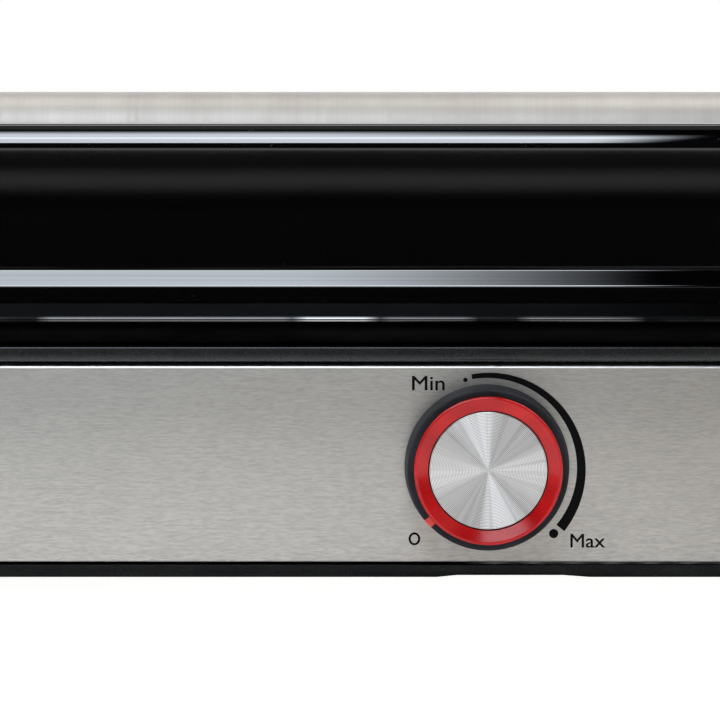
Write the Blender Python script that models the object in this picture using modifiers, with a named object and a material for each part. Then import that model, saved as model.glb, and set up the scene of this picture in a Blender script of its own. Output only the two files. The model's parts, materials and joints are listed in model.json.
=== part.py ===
"""Countertop hot dog roller grill with five driven rollers.

Units are metres, +Z is up and +X is to the right seen from the front, so the front faces -Y.
Most pieces are placed by their depth behind the front panel's face and their height over the
counter. The origin is at the middle of the footprint, on the counter.
"""

import math

import bmesh
import bpy
from mathutils import Matrix, Vector

# ---------------------------------------------------------------------------------------------
# Driving dimensions
# ---------------------------------------------------------------------------------------------

WIDTH = 0.460
BODY_DEPTH = 0.231
HEIGHT = 0.150
KNOB_PROUD = 0.0148
INLET_PROUD = 0.0015
Y_FRONT = (KNOB_PROUD - INLET_PROUD - BODY_DEPTH) / 2.0
GAP = 0.0003

# Heights of the layers, from the counter up
BASE_BOTTOM = 0.0040
BASE_TOP = 0.0075
CABINET_BOTTOM = BASE_TOP + GAP
PANEL_TOP = 0.0570
DECK_UNDERSIDE = 0.0602
DECK_TOP = 0.0617
TRAY_BOTTOM = 0.0621
TRAY_RIM = 0.0715
RAIL_BOTTOM = 0.0726
RAIL_TOP = 0.11775
ROLLER_HEIGHT = 0.1130

# Half widths of what spans between the two end towers
SPAN_HALF = 0.1857
TRAY_HALF = 0.1845
PLATE_INNER = 0.1860
PLATE_OUTER = 0.1872
COVER_INNER = 0.1875

# Rollers
ROLLER_COUNT = 5
ROLLER_PITCH = 0.0360
FIRST_ROLLER_DEPTH = 0.0435
ROLLER_RADIUS = 0.0125
ROLLER_WALL = 0.0012
ROLLER_LEFT_END = -0.1970
ROLLER_RIGHT_END = 0.2135
ROLLER_SEGMENTS = 32

# Gear train, in one plane inside the right tower
MODULE = 0.00125
ROLLER_TEETH = 26
IDLER_TEETH = 16
PINION_TEETH = 12
BACKLASH = 0.00010
PRESSURE_ANGLE = math.radians(20.0)
GEAR_LOW_X = 0.2055
GEAR_HIGH_X = 0.2115
IDLER_DROP = math.sqrt(
    (MODULE * (ROLLER_TEETH + IDLER_TEETH) / 2.0) ** 2 - (ROLLER_PITCH / 2.0) ** 2
)
IDLER_HEIGHT = ROLLER_HEIGHT - IDLER_DROP
PINION_HEIGHT = IDLER_HEIGHT - MODULE * (IDLER_TEETH + PINION_TEETH) / 2.0
DRIVEN_IDLER = 1
IDLER_STUD_RADIUS = 0.0030
IDLER_BORE = 0.0033

# Motor
MOTOR_RADIUS = 0.0250
MOTOR_LOW_X = 0.1877
MOTOR_HIGH_X = 0.2037
MOTOR_SHAFT_OFFSET = 0.0120
MOTOR_SHAFT_RADIUS = 0.0025
MOTOR_BORE = 0.0028

# Control knob and thermostat
KNOB_X = 0.0
KNOB_HEIGHT = 0.0320
SHAFT_RADIUS = 0.0030
SHAFT_BORE = 0.0033
BUSH_RADIUS = 0.0048
PANEL_HOLE_RADIUS = 0.0052

SHEET = 0.0008
RAIL_WALL = 0.0024
COVER_WALL = 0.0025

# Turns: a section is drawn as (depth, height) and runs along X,
# an elevation is drawn as (x, height) and its thickness grows towards the front.
TURN_SECTION = (math.radians(90.0), 0.0, math.radians(90.0))
TURN_FRONT = (math.radians(90.0), 0.0, 0.0)
TURN_NONE = (0.0, 0.0, 0.0)


def at_depth(depth):
    """World Y of a place that lies this far behind the front panel's face."""
    return Y_FRONT + depth


def roller_depth(index):
    return FIRST_ROLLER_DEPTH + index * ROLLER_PITCH


def idler_depth(index):
    return roller_depth(index) + ROLLER_PITCH / 2.0


# ---------------------------------------------------------------------------------------------
# Scene, collections and materials
# ---------------------------------------------------------------------------------------------

for old in list(bpy.data.objects):
    bpy.data.objects.remove(old, do_unlink=True)

PARTS = bpy.data.collections.new("hot_dog_roller_grill")
TOOLS = bpy.data.collections.new("cutters")
bpy.context.scene.collection.children.link(PARTS)
bpy.context.scene.collection.children.link(TOOLS)


def make_material(name, color, roughness, metallic):
    material = bpy.data.materials.new(name)
    material.use_nodes = True
    shader = material.node_tree.nodes["Principled BSDF"]
    shader.inputs["Base Color"].default_value = (*color, 1.0)
    shader.inputs["Roughness"].default_value = roughness
    shader.inputs["Metallic"].default_value = metallic
    return material


STAINLESS = make_material("stainless", (0.62, 0.61, 0.58), 0.32, 1.0)
GALVANISED = make_material("galvanised", (0.52, 0.54, 0.55), 0.45, 1.0)
BLACK_ENAMEL = make_material("black_enamel", (0.012, 0.012, 0.013), 0.12, 0.0)
BLACK_PAINT = make_material("black_paint", (0.020, 0.020, 0.021), 0.35, 0.0)
BLACK_PLASTIC = make_material("black_plastic", (0.025, 0.025, 0.027), 0.42, 0.0)
RED_PLASTIC = make_material("red_plastic", (0.62, 0.035, 0.030), 0.18, 0.0)
SPUN_ALUMINIUM = make_material("spun_aluminium", (0.80, 0.80, 0.81), 0.28, 1.0)
RUBBER = make_material("rubber", (0.030, 0.030, 0.030), 0.80, 0.0)
NYLON = make_material("nylon", (0.72, 0.70, 0.64), 0.45, 0.0)
ACETAL = make_material("acetal", (0.78, 0.76, 0.70), 0.38, 0.0)
CERAMIC = make_material("ceramic", (0.82, 0.79, 0.72), 0.55, 0.0)
PHENOLIC = make_material("phenolic", (0.060, 0.040, 0.030), 0.50, 0.0)


# ---------------------------------------------------------------------------------------------
# Ways of making a piece
# ---------------------------------------------------------------------------------------------

def add_object(name, mesh, material, origin=(0.0, 0.0, 0.0), turn=TURN_NONE):
    """Put a mesh in the parts collection, or among the cutters where it has no material."""
    piece = bpy.data.objects.new(name, mesh)
    piece.location = origin
    piece.rotation_euler = turn
    if material is None:
        TOOLS.objects.link(piece)
        piece.hide_render = True
        piece.display_type = "WIRE"
    else:
        PARTS.objects.link(piece)
        mesh.materials.append(material)
    return piece


def shade(piece, angle=35.0):
    piece.data.shade_smooth()
    piece.data.set_sharp_from_angle(angle=math.radians(angle))


def arc(center, radius, start, end, steps):
    """Points of a round stretch from one angle to another, in degrees, ends included."""
    points = []
    for step in range(steps + 1):
        angle = math.radians(start + (end - start) * step / steps)
        points.append((center[0] + radius * math.cos(angle), center[1] + radius * math.sin(angle)))
    return points


def circle(center, radius, segments):
    return arc(center, radius, 0.0, 360.0, segments)[:-1]


def rounded_rectangle(low, high, bottom_radius, top_radius, steps):
    """Outline of a rectangle whose bottom and top corners have their own radii."""
    corners = (
        ((high[0] - bottom_radius, low[1] + bottom_radius), bottom_radius, -90.0),
        ((high[0] - top_radius, high[1] - top_radius), top_radius, 0.0),
        ((low[0] + top_radius, high[1] - top_radius), top_radius, 90.0),
        ((low[0] + bottom_radius, low[1] + bottom_radius), bottom_radius, 180.0),
    )
    points = []
    for center, radius, start in corners:
        points += arc(center, radius, start, start + 90.0, steps)
    return points


def curve_mesh(name, loops, half_width, closed):
    """Mesh of flat loops widened along local Z; closed loops are filled, inner ones are holes."""
    curve = bpy.data.curves.new(name, "CURVE")
    curve.dimensions = "2D"
    curve.fill_mode = "BOTH" if closed else "NONE"
    curve.extrude = half_width
    curve.resolution_u = 1
    curve.render_resolution_u = 0
    for loop in loops:
        spline = curve.splines.new("POLY")
        spline.points.add(len(loop) - 1)
        spline.use_cyclic_u = closed
        for point, (x, y) in zip(spline.points, loop):
            point.co = (x, y, 0.0, 1.0)
    source = bpy.data.objects.new(name + "_curve", curve)
    TOOLS.objects.link(source)
    evaluated = source.evaluated_get(bpy.context.evaluated_depsgraph_get())
    mesh = bpy.data.meshes.new_from_object(evaluated)
    mesh.name = name
    bpy.data.objects.remove(source, do_unlink=True)
    work = bmesh.new()
    work.from_mesh(mesh)
    bmesh.ops.remove_doubles(work, verts=work.verts, dist=1e-6)
    if closed:
        bmesh.ops.recalc_face_normals(work, faces=work.faces)
    work.to_mesh(mesh)
    work.free()
    return mesh


def extruded(name, loops, start, end, turn, material, origin=(0.0, 0.0, 0.0)):
    """Solid of a flat outline, from start to end along the direction that the turn gives."""
    mesh = curve_mesh(name, loops, abs(end - start) / 2.0, True)
    mesh.transform(Matrix.Translation((0.0, 0.0, (start + end) / 2.0)))
    piece = add_object(name, mesh, material, origin, turn)
    shade(piece)
    return piece


def bent_sheet(name, profile, start, end, thickness, turn, material):
    """Folded sheet: the profile is its outer face, and the metal lies on its right side."""
    mesh = curve_mesh(name, [profile], abs(end - start) / 2.0, False)
    mesh.transform(Matrix.Translation((0.0, 0.0, (start + end) / 2.0)))
    piece = add_object(name, mesh, material, turn=turn)
    solid = piece.modifiers.new("Thickness", "SOLIDIFY")
    solid.thickness = thickness
    solid.offset = -1.0
    solid.use_even_offset = True
    shade(piece)
    return piece


def turned(name, profile, segments, turn, material, origin):
    """Turned solid. The profile is (radius, height) and runs down its outer side."""
    on_axis = profile[0][0] == 0.0
    edges = [(index, index + 1) for index in range(len(profile) - 1)]
    if not on_axis:
        edges.append((len(profile) - 1, 0))
    mesh = bpy.data.meshes.new(name)
    mesh.from_pydata([(radius, 0.0, height) for radius, height in profile], edges, [])
    piece = add_object(name, mesh, material, origin, turn)
    screw = piece.modifiers.new("Turn", "SCREW")
    screw.steps = segments
    screw.render_steps = segments
    screw.use_merge_vertices = True
    screw.merge_threshold = 0.00001
    screw.use_smooth_shade = True
    return piece


def add_block(work, low, high):
    size = [high[axis] - low[axis] for axis in range(3)]
    middle = [(high[axis] + low[axis]) / 2.0 for axis in range(3)]
    matrix = Matrix.Translation(middle) @ Matrix.Diagonal((*size, 1.0))
    bmesh.ops.create_cube(work, size=1.0, matrix=matrix)


def add_rod(work, start, end, radius, segments):
    start, end = Vector(start), Vector(end)
    along = end - start
    turn = along.to_track_quat("Z", "Y").to_matrix().to_4x4()
    matrix = Matrix.Translation((start + end) / 2.0) @ turn
    bmesh.ops.create_cone(
        work, cap_ends=True, segments=segments, radius1=radius, radius2=radius,
        depth=along.length, matrix=matrix,
    )


def primitives(name, blocks=(), rods=(), material=None):
    """Boxes and rods in one mesh: a piece of its own, or a cutter where it has no material."""
    work = bmesh.new()
    for low, high in blocks:
        add_block(work, low, high)
    for start, end, radius, segments in rods:
        add_rod(work, start, end, radius, segments)
    mesh = bpy.data.meshes.new(name)
    work.to_mesh(mesh)
    work.free()
    return add_object(name, mesh, material)


def combine(piece, tool, operation):
    """Cut the tool out of the piece, or join it on."""
    boolean = piece.modifiers.new(operation.capitalize(), "BOOLEAN")
    boolean.operation = operation
    boolean.object = tool
    boolean.solver = "EXACT"


def cut(piece, tool):
    combine(piece, tool, "DIFFERENCE")


def join(piece, tool):
    combine(piece, tool, "UNION")


def round_edges(piece, width, segments=2):
    bevel = piece.modifiers.new("Rounded edges", "BEVEL")
    bevel.width = width
    bevel.segments = segments
    bevel.limit_method = "ANGLE"


def section(points):
    """Turn (depth, height) points into the (Y, Z) points of a section."""
    return [(at_depth(depth), height) for depth, height in points]


# ---------------------------------------------------------------------------------------------
# Base, feet and cabinet
# ---------------------------------------------------------------------------------------------

FOOT_X = 0.200
FOOT_DEPTHS = (0.025, 0.206)
FOOT_STEM_RADIUS = 0.0030
FOOT_HOLE_RADIUS = 0.0034
FLOOR_TOP = 0.0055
RIM_WALL = 0.0020
BASE_CORNER = 0.010


def make_base_pan():
    low = (-WIDTH / 2.0, at_depth(0.0))
    high = (WIDTH / 2.0, at_depth(BODY_DEPTH))
    outline = rounded_rectangle(low, high, BASE_CORNER, BASE_CORNER, 5)
    pan = extruded("base_pan", [outline], BASE_BOTTOM, BASE_TOP, TURN_NONE, BLACK_PAINT)

    inner_corner = BASE_CORNER - RIM_WALL
    pocket_low = (low[0] + RIM_WALL, low[1] + RIM_WALL)
    pocket_high = (high[0] - RIM_WALL, high[1] - RIM_WALL)
    pocket_outline = rounded_rectangle(pocket_low, pocket_high, inner_corner, inner_corner, 5)
    cut(pan, extruded("base_pocket", [pocket_outline], FLOOR_TOP, BASE_TOP + 0.002, TURN_NONE, None))

    slot_half, slot_length = 0.0015, 0.030
    slots = []
    for row_depth in (0.080, 0.150):
        for step in range(-4, 5):
            x = 0.016 * step
            slots.append((
                (x - slot_half, at_depth(row_depth - slot_length / 2.0), BASE_BOTTOM - 0.001),
                (x + slot_half, at_depth(row_depth + slot_length / 2.0), FLOOR_TOP + 0.001),
            ))
    holes = []
    for side in (-1, 1):
        for depth in FOOT_DEPTHS:
            center = Vector((side * FOOT_X, at_depth(depth), 0.0))
            holes.append((
                center + Vector((0.0, 0.0, BASE_BOTTOM - 0.001)),
                center + Vector((0.0, 0.0, FLOOR_TOP + 0.001)),
                FOOT_HOLE_RADIUS, 12,
            ))
    cut(pan, primitives("base_openings", slots, holes))

    # A shallow relief raises the rim's lower edge under the knob, with a ramp at each end.
    relief = [
        (KNOB_X - 0.0125, BASE_BOTTOM - 0.001),
        (KNOB_X + 0.0260, BASE_BOTTOM - 0.001),
        (KNOB_X + 0.0260, BASE_BOTTOM),
        (KNOB_X + 0.0193, BASE_BOTTOM + 0.0005),
        (KNOB_X - 0.0075, BASE_BOTTOM + 0.0005),
        (KNOB_X - 0.0125, BASE_BOTTOM),
    ]
    cut(pan, extruded("base_relief", [relief], -at_depth(0.012), -at_depth(-0.002), TURN_FRONT, None))


def make_feet():
    profile = [
        (0.0, 0.0070), (FOOT_STEM_RADIUS, 0.0070), (FOOT_STEM_RADIUS, 0.0037),
        (0.0075, 0.0037), (0.0090, 0.0007), (0.0083, 0.0), (0.0, 0.0),
    ]
    names = {(-1, 0): "foot_front_left", (1, 0): "foot_front_right",
             (-1, 1): "foot_rear_left", (1, 1): "foot_rear_right"}
    for (side, row), name in names.items():
        origin = (side * FOOT_X, at_depth(FOOT_DEPTHS[row]), 0.0)
        turned(name, profile, 16, TURN_NONE, RUBBER, origin)


def make_front_panel():
    bend = 0.0010
    profile = [(0.008, CABINET_BOTTOM)]
    profile += arc((bend, CABINET_BOTTOM + bend), bend, 270.0, 180.0, 3)
    profile += arc((bend, PANEL_TOP - bend), bend, 180.0, 90.0, 3)
    profile += [(0.012, PANEL_TOP)]
    panel = bent_sheet(
        "front_panel", section(profile), -SPAN_HALF, SPAN_HALF, SHEET, TURN_SECTION, STAINLESS)
    hole = (
        (KNOB_X, at_depth(-0.005), KNOB_HEIGHT), (KNOB_X, at_depth(0.005), KNOB_HEIGHT),
        PANEL_HOLE_RADIUS, 24,
    )
    cut(panel, primitives("thermostat_hole", rods=[hole]))


INLET_X = -0.120
INLET_HEIGHT = 0.0330
INLET_HALF_WIDTH = 0.0135
INLET_HALF_HEIGHT = 0.0100


def make_rear_panel():
    bend = 0.0010
    rear = BODY_DEPTH
    top = RAIL_BOTTOM - GAP
    profile = [(rear - 0.014, top)]
    profile += arc((rear - bend, top - bend), bend, 90.0, 0.0, 3)
    profile += arc((rear - bend, CABINET_BOTTOM + bend), bend, 0.0, -90.0, 3)
    profile += [(rear - 0.008, CABINET_BOTTOM)]
    panel = bent_sheet(
        "rear_panel", section(profile), -SPAN_HALF, SPAN_HALF, SHEET, TURN_SECTION, STAINLESS)
    front, back = at_depth(rear - 0.003), at_depth(rear + 0.003)
    openings = [(
        (INLET_X - INLET_HALF_WIDTH - GAP, front, INLET_HEIGHT - INLET_HALF_HEIGHT - GAP),
        (INLET_X + INLET_HALF_WIDTH + GAP, back, INLET_HEIGHT + INLET_HALF_HEIGHT + GAP),
    )]
    for step in range(12):
        x = 0.010 + 0.012 * step
        openings.append(((x - 0.0015, front, 0.022), (x + 0.0015, back, 0.052)))
    cut(panel, primitives("rear_openings", openings))


def make_deck():
    """Sheet with a rolled front nose, a rear stop and a hem that closes the gap over the panel."""
    nose = (0.0032, 0.05985)
    hem_front, hem_back, hem_bottom = 0.0130, 0.0138, 0.0566
    profile = [(0.2168, DECK_TOP)]
    profile += arc(nose, 0.00195, 72.0, 290.0, 10)
    profile += [
        (0.0055, 0.0587), (0.0055, DECK_UNDERSIDE), (hem_front, DECK_UNDERSIDE),
        (hem_front, hem_bottom), (hem_back, hem_bottom), (hem_back, DECK_UNDERSIDE),
        (0.2180, DECK_UNDERSIDE), (0.2180, 0.0680), (0.2168, 0.0680),
    ]
    extruded("deck", [section(profile)], -SPAN_HALF, SPAN_HALF, TURN_SECTION, BLACK_PAINT)


def make_drip_tray():
    """Open pan that slides out under the rollers, with a sloping lip to pull it by."""
    front_wall, back_wall, wall = 0.0100, 0.2160, 0.0012
    tip = (0.0028, 0.0689)
    outline = [
        (front_wall, TRAY_BOTTOM), (back_wall, TRAY_BOTTOM), (back_wall, TRAY_RIM),
        (0.0128, TRAY_RIM), (0.0116, 0.0722), (0.0110, 0.0722),
    ]
    outline += arc(tip, 0.0008, 108.0, 288.0, 6)
    outline += [(front_wall, 0.0704)]
    tray = extruded("drip_tray", [section(outline)], -TRAY_HALF, TRAY_HALF, TURN_SECTION, BLACK_ENAMEL)
    pocket = (
        (-TRAY_HALF + wall, at_depth(front_wall + 0.0015), TRAY_BOTTOM + wall),
        (TRAY_HALF - wall, at_depth(back_wall - wall), TRAY_RIM + 0.005),
    )
    cut(tray, primitives("tray_pocket", [pocket]))


def rail_profile():
    """Outer face of the front rail, from its lower front edge over the top to the inner skirt."""
    profile = [(0.0115, RAIL_BOTTOM), (0.0115, 0.0765), (0.0145, 0.0804)]
    profile += arc((0.0215, RAIL_TOP - 0.007), 0.007, 180.0, 90.0, 6)
    profile += arc((0.0244, RAIL_TOP - 0.001), 0.001, 90.0, 0.0, 2)
    profile += [(0.0254, 0.0980)]
    return profile


def make_rails():
    front = rail_profile()
    rear = [(BODY_DEPTH - depth, height) for depth, height in reversed(front)]
    for name, profile in (("front_rail", front), ("rear_rail", rear)):
        bent_sheet(
            name, section(profile), -SPAN_HALF, SPAN_HALF, RAIL_WALL, TURN_SECTION, BLACK_ENAMEL)


# ---------------------------------------------------------------------------------------------
# End towers
# ---------------------------------------------------------------------------------------------

COVER_TOP_RADIUS = 0.028
COVER_BOTTOM_RADIUS = 0.005
COVER_EDGE_RADIUS = 0.006


def make_inner_plate(side, name):
    outline = rounded_rectangle(
        (at_depth(0.002), 0.0080), (at_depth(0.229), 0.1460), 0.002, 0.026, 4)
    loops = [outline]
    for index in range(ROLLER_COUNT):
        loops.append(circle((at_depth(roller_depth(index)), ROLLER_HEIGHT), 0.0150, 32))
    low_x, high_x = sorted((side * PLATE_INNER, side * PLATE_OUTER))
    extruded(name, loops, low_x, high_x, TURN_SECTION, GALVANISED)


def make_idler_carrier():
    """Strap against the right inner plate whose studs carry the idler gears."""
    half_height, strap_thickness, stud_end = 0.0039, 0.0012, 0.2135
    first, last = at_depth(idler_depth(0)), at_depth(idler_depth(ROLLER_COUNT - 2))
    outline = arc((first, IDLER_HEIGHT), half_height, 90.0, 270.0, 6)
    outline += arc((last, IDLER_HEIGHT), half_height, -90.0, 90.0, 6)
    strap = extruded("idler_carrier", [outline], COVER_INNER, COVER_INNER + strap_thickness,
                     TURN_SECTION, GALVANISED)
    studs = []
    for index in range(ROLLER_COUNT - 1):
        y = at_depth(idler_depth(index))
        studs.append((
            (COVER_INNER + strap_thickness / 2.0, y, IDLER_HEIGHT), (stud_end, y, IDLER_HEIGHT),
            IDLER_STUD_RADIUS, 12,
        ))
    join(strap, primitives("idler_studs", rods=studs))


def make_end_cover(side, name):
    """Moulded shell, open towards the inner plate, with its outer edge rounded all round."""
    inset_steps = 4
    stations = [(COVER_INNER, 0.0)]
    for step in range(inset_steps + 1):
        angle = math.radians(90.0 * step / inset_steps)
        inset = COVER_EDGE_RADIUS * (1.0 - math.cos(angle))
        stations.append((WIDTH / 2.0 - COVER_EDGE_RADIUS * (1.0 - math.sin(angle)), inset))

    work = bmesh.new()
    rings = []
    for x, inset in stations:
        outline = rounded_rectangle(
            (at_depth(inset), CABINET_BOTTOM + inset),
            (at_depth(BODY_DEPTH - inset), HEIGHT - inset),
            max(COVER_BOTTOM_RADIUS - inset, COVER_WALL + GAP),
            COVER_TOP_RADIUS - inset, 5)
        rings.append([work.verts.new((side * x, y, z)) for y, z in outline])
    for ring, following in zip(rings, rings[1:]):
        count = len(ring)
        for index in range(count):
            after = (index + 1) % count
            work.faces.new((ring[index], ring[after], following[after], following[index]))
    work.faces.new(rings[-1])
    bmesh.ops.recalc_face_normals(work, faces=work.faces)
    if sum(face.normal.x * side for face in work.faces[-1:]) < 0.0:
        bmesh.ops.reverse_faces(work, faces=work.faces)
    mesh = bpy.data.meshes.new(name)
    work.to_mesh(mesh)
    work.free()
    cover = add_object(name, mesh, BLACK_PLASTIC)
    solid = cover.modifiers.new("Wall", "SOLIDIFY")
    solid.thickness = COVER_WALL
    solid.offset = -1.0
    solid.use_even_offset = True
    shade(cover)

    slots = []
    low_x, high_x = sorted((side * (WIDTH / 2.0 - 0.005), side * (WIDTH / 2.0 + 0.002)))
    for step in range(7):
        height = 0.026 + 0.008 * step
        slots.append((
            (low_x, at_depth(0.085), height - 0.0015), (high_x, at_depth(0.146), height + 0.0015),
        ))
    cut(cover, primitives(name + "_slots", slots))


def make_bush(side, index, name):
    """Flanged plain bearing: the flange faces the rollers and the sleeve fills the plate's hole."""
    bore, sleeve, flange = 0.01275, 0.0147, 0.0170
    outer_end, plate_side, inner_end = 0.1897, 0.1857, 0.1837
    profile = [
        (flange, plate_side), (flange, inner_end), (bore, inner_end), (bore, outer_end),
        (sleeve, outer_end), (sleeve, plate_side),
    ]
    if side < 0:
        profile = [(radius, -x) for radius, x in reversed(profile)]
    origin = (0.0, at_depth(roller_depth(index)), ROLLER_HEIGHT)
    turned(name, profile, 20, TURN_SECTION, NYLON, origin)


def make_heater_bracket(side, name):
    """Folded strap inside the tower that carries the ends of the heater rods."""
    inner, outer = COVER_INNER + 0.0002, 0.2182
    profile = [
        (side * inner, at_depth(0.020)), (side * outer, at_depth(0.020)),
        (side * outer, at_depth(0.211)), (side * inner, at_depth(0.211)),
    ]
    if side < 0:
        profile.reverse()
    strap = bent_sheet(name, profile, 0.1000, 0.1260, 0.0012, TURN_NONE, GALVANISED)
    holes = []
    for index in range(ROLLER_COUNT):
        y = at_depth(roller_depth(index))
        holes.append(((side * 0.214, y, ROLLER_HEIGHT), (side * 0.221, y, ROLLER_HEIGHT), 0.0048, 16))
    cut(strap, primitives(name + "_holes", rods=holes))


# ---------------------------------------------------------------------------------------------
# Rollers, heaters and gears
# ---------------------------------------------------------------------------------------------

def make_roller(index):
    inner = ROLLER_RADIUS - ROLLER_WALL
    profile = [
        (ROLLER_RADIUS, ROLLER_RIGHT_END), (ROLLER_RADIUS, ROLLER_LEFT_END),
        (inner, ROLLER_LEFT_END), (inner, ROLLER_RIGHT_END),
    ]
    origin = (0.0, at_depth(roller_depth(index)), ROLLER_HEIGHT)
    turned(f"roller_{index + 1}", profile, ROLLER_SEGMENTS, TURN_SECTION, STAINLESS, origin)


def make_heater(index):
    """Straight element: a steel sheath, a ceramic insulator and a terminal pin at each end."""
    sheath, insulator, pin = 0.00325, 0.0045, 0.0015
    sheath_end, insulator_end, pin_end = 0.2080, 0.2220, 0.2265
    half = [
        (0.0, pin_end), (pin, pin_end), (pin, insulator_end), (insulator, insulator_end),
        (insulator, sheath_end), (sheath, sheath_end),
    ]
    profile = half + [(radius, -x) for radius, x in reversed(half)]
    origin = (0.0, at_depth(roller_depth(index)), ROLLER_HEIGHT)
    turned(f"heater_{index + 1}", profile, 10, TURN_SECTION, STAINLESS, origin)


def involute(angle):
    return math.tan(angle) - angle


def gear_outline(teeth, phase):
    """Outline whose tooth corners lie on an involute; a tooth's middle lies at the angle phase."""
    pitch_radius = MODULE * teeth / 2.0
    base_radius = pitch_radius * math.cos(PRESSURE_ANGLE)
    tip_radius = pitch_radius + MODULE
    root_radius = pitch_radius - 1.25 * MODULE
    tooth_width = math.pi * MODULE / 2.0 - BACKLASH
    base_half = tooth_width / (2.0 * pitch_radius) + involute(PRESSURE_ANGLE)
    tip_half = base_half - involute(math.acos(base_radius / tip_radius))
    root_half = base_half - involute(math.acos(min(1.0, base_radius / root_radius)))
    points = []
    for tooth in range(teeth):
        middle = phase + 2.0 * math.pi * tooth / teeth
        corners = (
            (root_radius, -root_half), (tip_radius, -tip_half),
            (tip_radius, tip_half), (root_radius, root_half),
        )
        for radius, offset in corners:
            angle = middle + offset
            points.append((radius * math.cos(angle), radius * math.sin(angle)))
    return points


def mesh_phase(phase, teeth, direction, next_teeth):
    """Phase of the next gear, in mesh with this one that lies in the given direction from it."""
    turns = (direction - phase) * teeth / (2.0 * math.pi)
    return direction + math.pi - (0.5 - turns) * 2.0 * math.pi / next_teeth


def gear_phases():
    """Phases at rest of the roller gears, the idlers and the pinion, worked out along the train."""
    down = math.atan2(-IDLER_DROP, ROLLER_PITCH / 2.0)
    up = math.atan2(IDLER_DROP, ROLLER_PITCH / 2.0)
    roller_phases, idler_phases = [0.0], []
    for _ in range(ROLLER_COUNT - 1):
        idler_phases.append(mesh_phase(roller_phases[-1], ROLLER_TEETH, down, IDLER_TEETH))
        roller_phases.append(mesh_phase(idler_phases[-1], IDLER_TEETH, up, ROLLER_TEETH))
    pinion = mesh_phase(idler_phases[DRIVEN_IDLER], IDLER_TEETH, -math.pi / 2.0, PINION_TEETH)
    return roller_phases, idler_phases, pinion


def make_gears():
    roller_phases, idler_phases, pinion_phase = gear_phases()
    for index, phase in enumerate(roller_phases):
        loops = [gear_outline(ROLLER_TEETH, phase), circle((0.0, 0.0), 0.0128, 20)]
        origin = (0.0, at_depth(roller_depth(index)), ROLLER_HEIGHT)
        extruded(f"roller_gear_{index + 1}", loops, GEAR_LOW_X, GEAR_HIGH_X, TURN_SECTION,
                 ACETAL, origin)
    for index, phase in enumerate(idler_phases):
        loops = [gear_outline(IDLER_TEETH, phase), circle((0.0, 0.0), IDLER_BORE, 12)]
        origin = (0.0, at_depth(idler_depth(index)), IDLER_HEIGHT)
        extruded(f"idler_gear_{index + 1}", loops, GEAR_LOW_X, GEAR_HIGH_X, TURN_SECTION,
                 ACETAL, origin)

    y = at_depth(idler_depth(DRIVEN_IDLER))
    pinion = extruded("motor_pinion", [gear_outline(PINION_TEETH, pinion_phase)],
                      GEAR_LOW_X, GEAR_HIGH_X, TURN_SECTION, ACETAL, (0.0, y, PINION_HEIGHT))
    shaft = (
        (0.1960, y, PINION_HEIGHT), (GEAR_LOW_X + 0.001, y, PINION_HEIGHT), MOTOR_SHAFT_RADIUS, 12,
    )
    join(pinion, primitives("pinion_shaft", rods=[shaft]))


def make_motor():
    """Flat round geared motor with a mounting strap behind it and its shaft above its middle."""
    y = at_depth(idler_depth(DRIVEN_IDLER))
    middle = PINION_HEIGHT - MOTOR_SHAFT_OFFSET
    body = primitives("motor_body", rods=[
        ((MOTOR_LOW_X, y, middle), (MOTOR_HIGH_X, y, middle), MOTOR_RADIUS, 32)], material=GALVANISED)
    strap = [(
        (MOTOR_LOW_X, y - 0.031, middle - 0.006), (MOTOR_LOW_X + 0.0015, y + 0.031, middle + 0.006),
    )]
    join(body, primitives("motor_strap", strap))
    bore = (
        (0.1945, y, PINION_HEIGHT), (MOTOR_HIGH_X + 0.002, y, PINION_HEIGHT), MOTOR_BORE, 12,
    )
    cut(body, primitives("motor_shaft_bore", rods=[bore]))


# ---------------------------------------------------------------------------------------------
# Control, inlet and wiring pieces
# ---------------------------------------------------------------------------------------------

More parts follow.
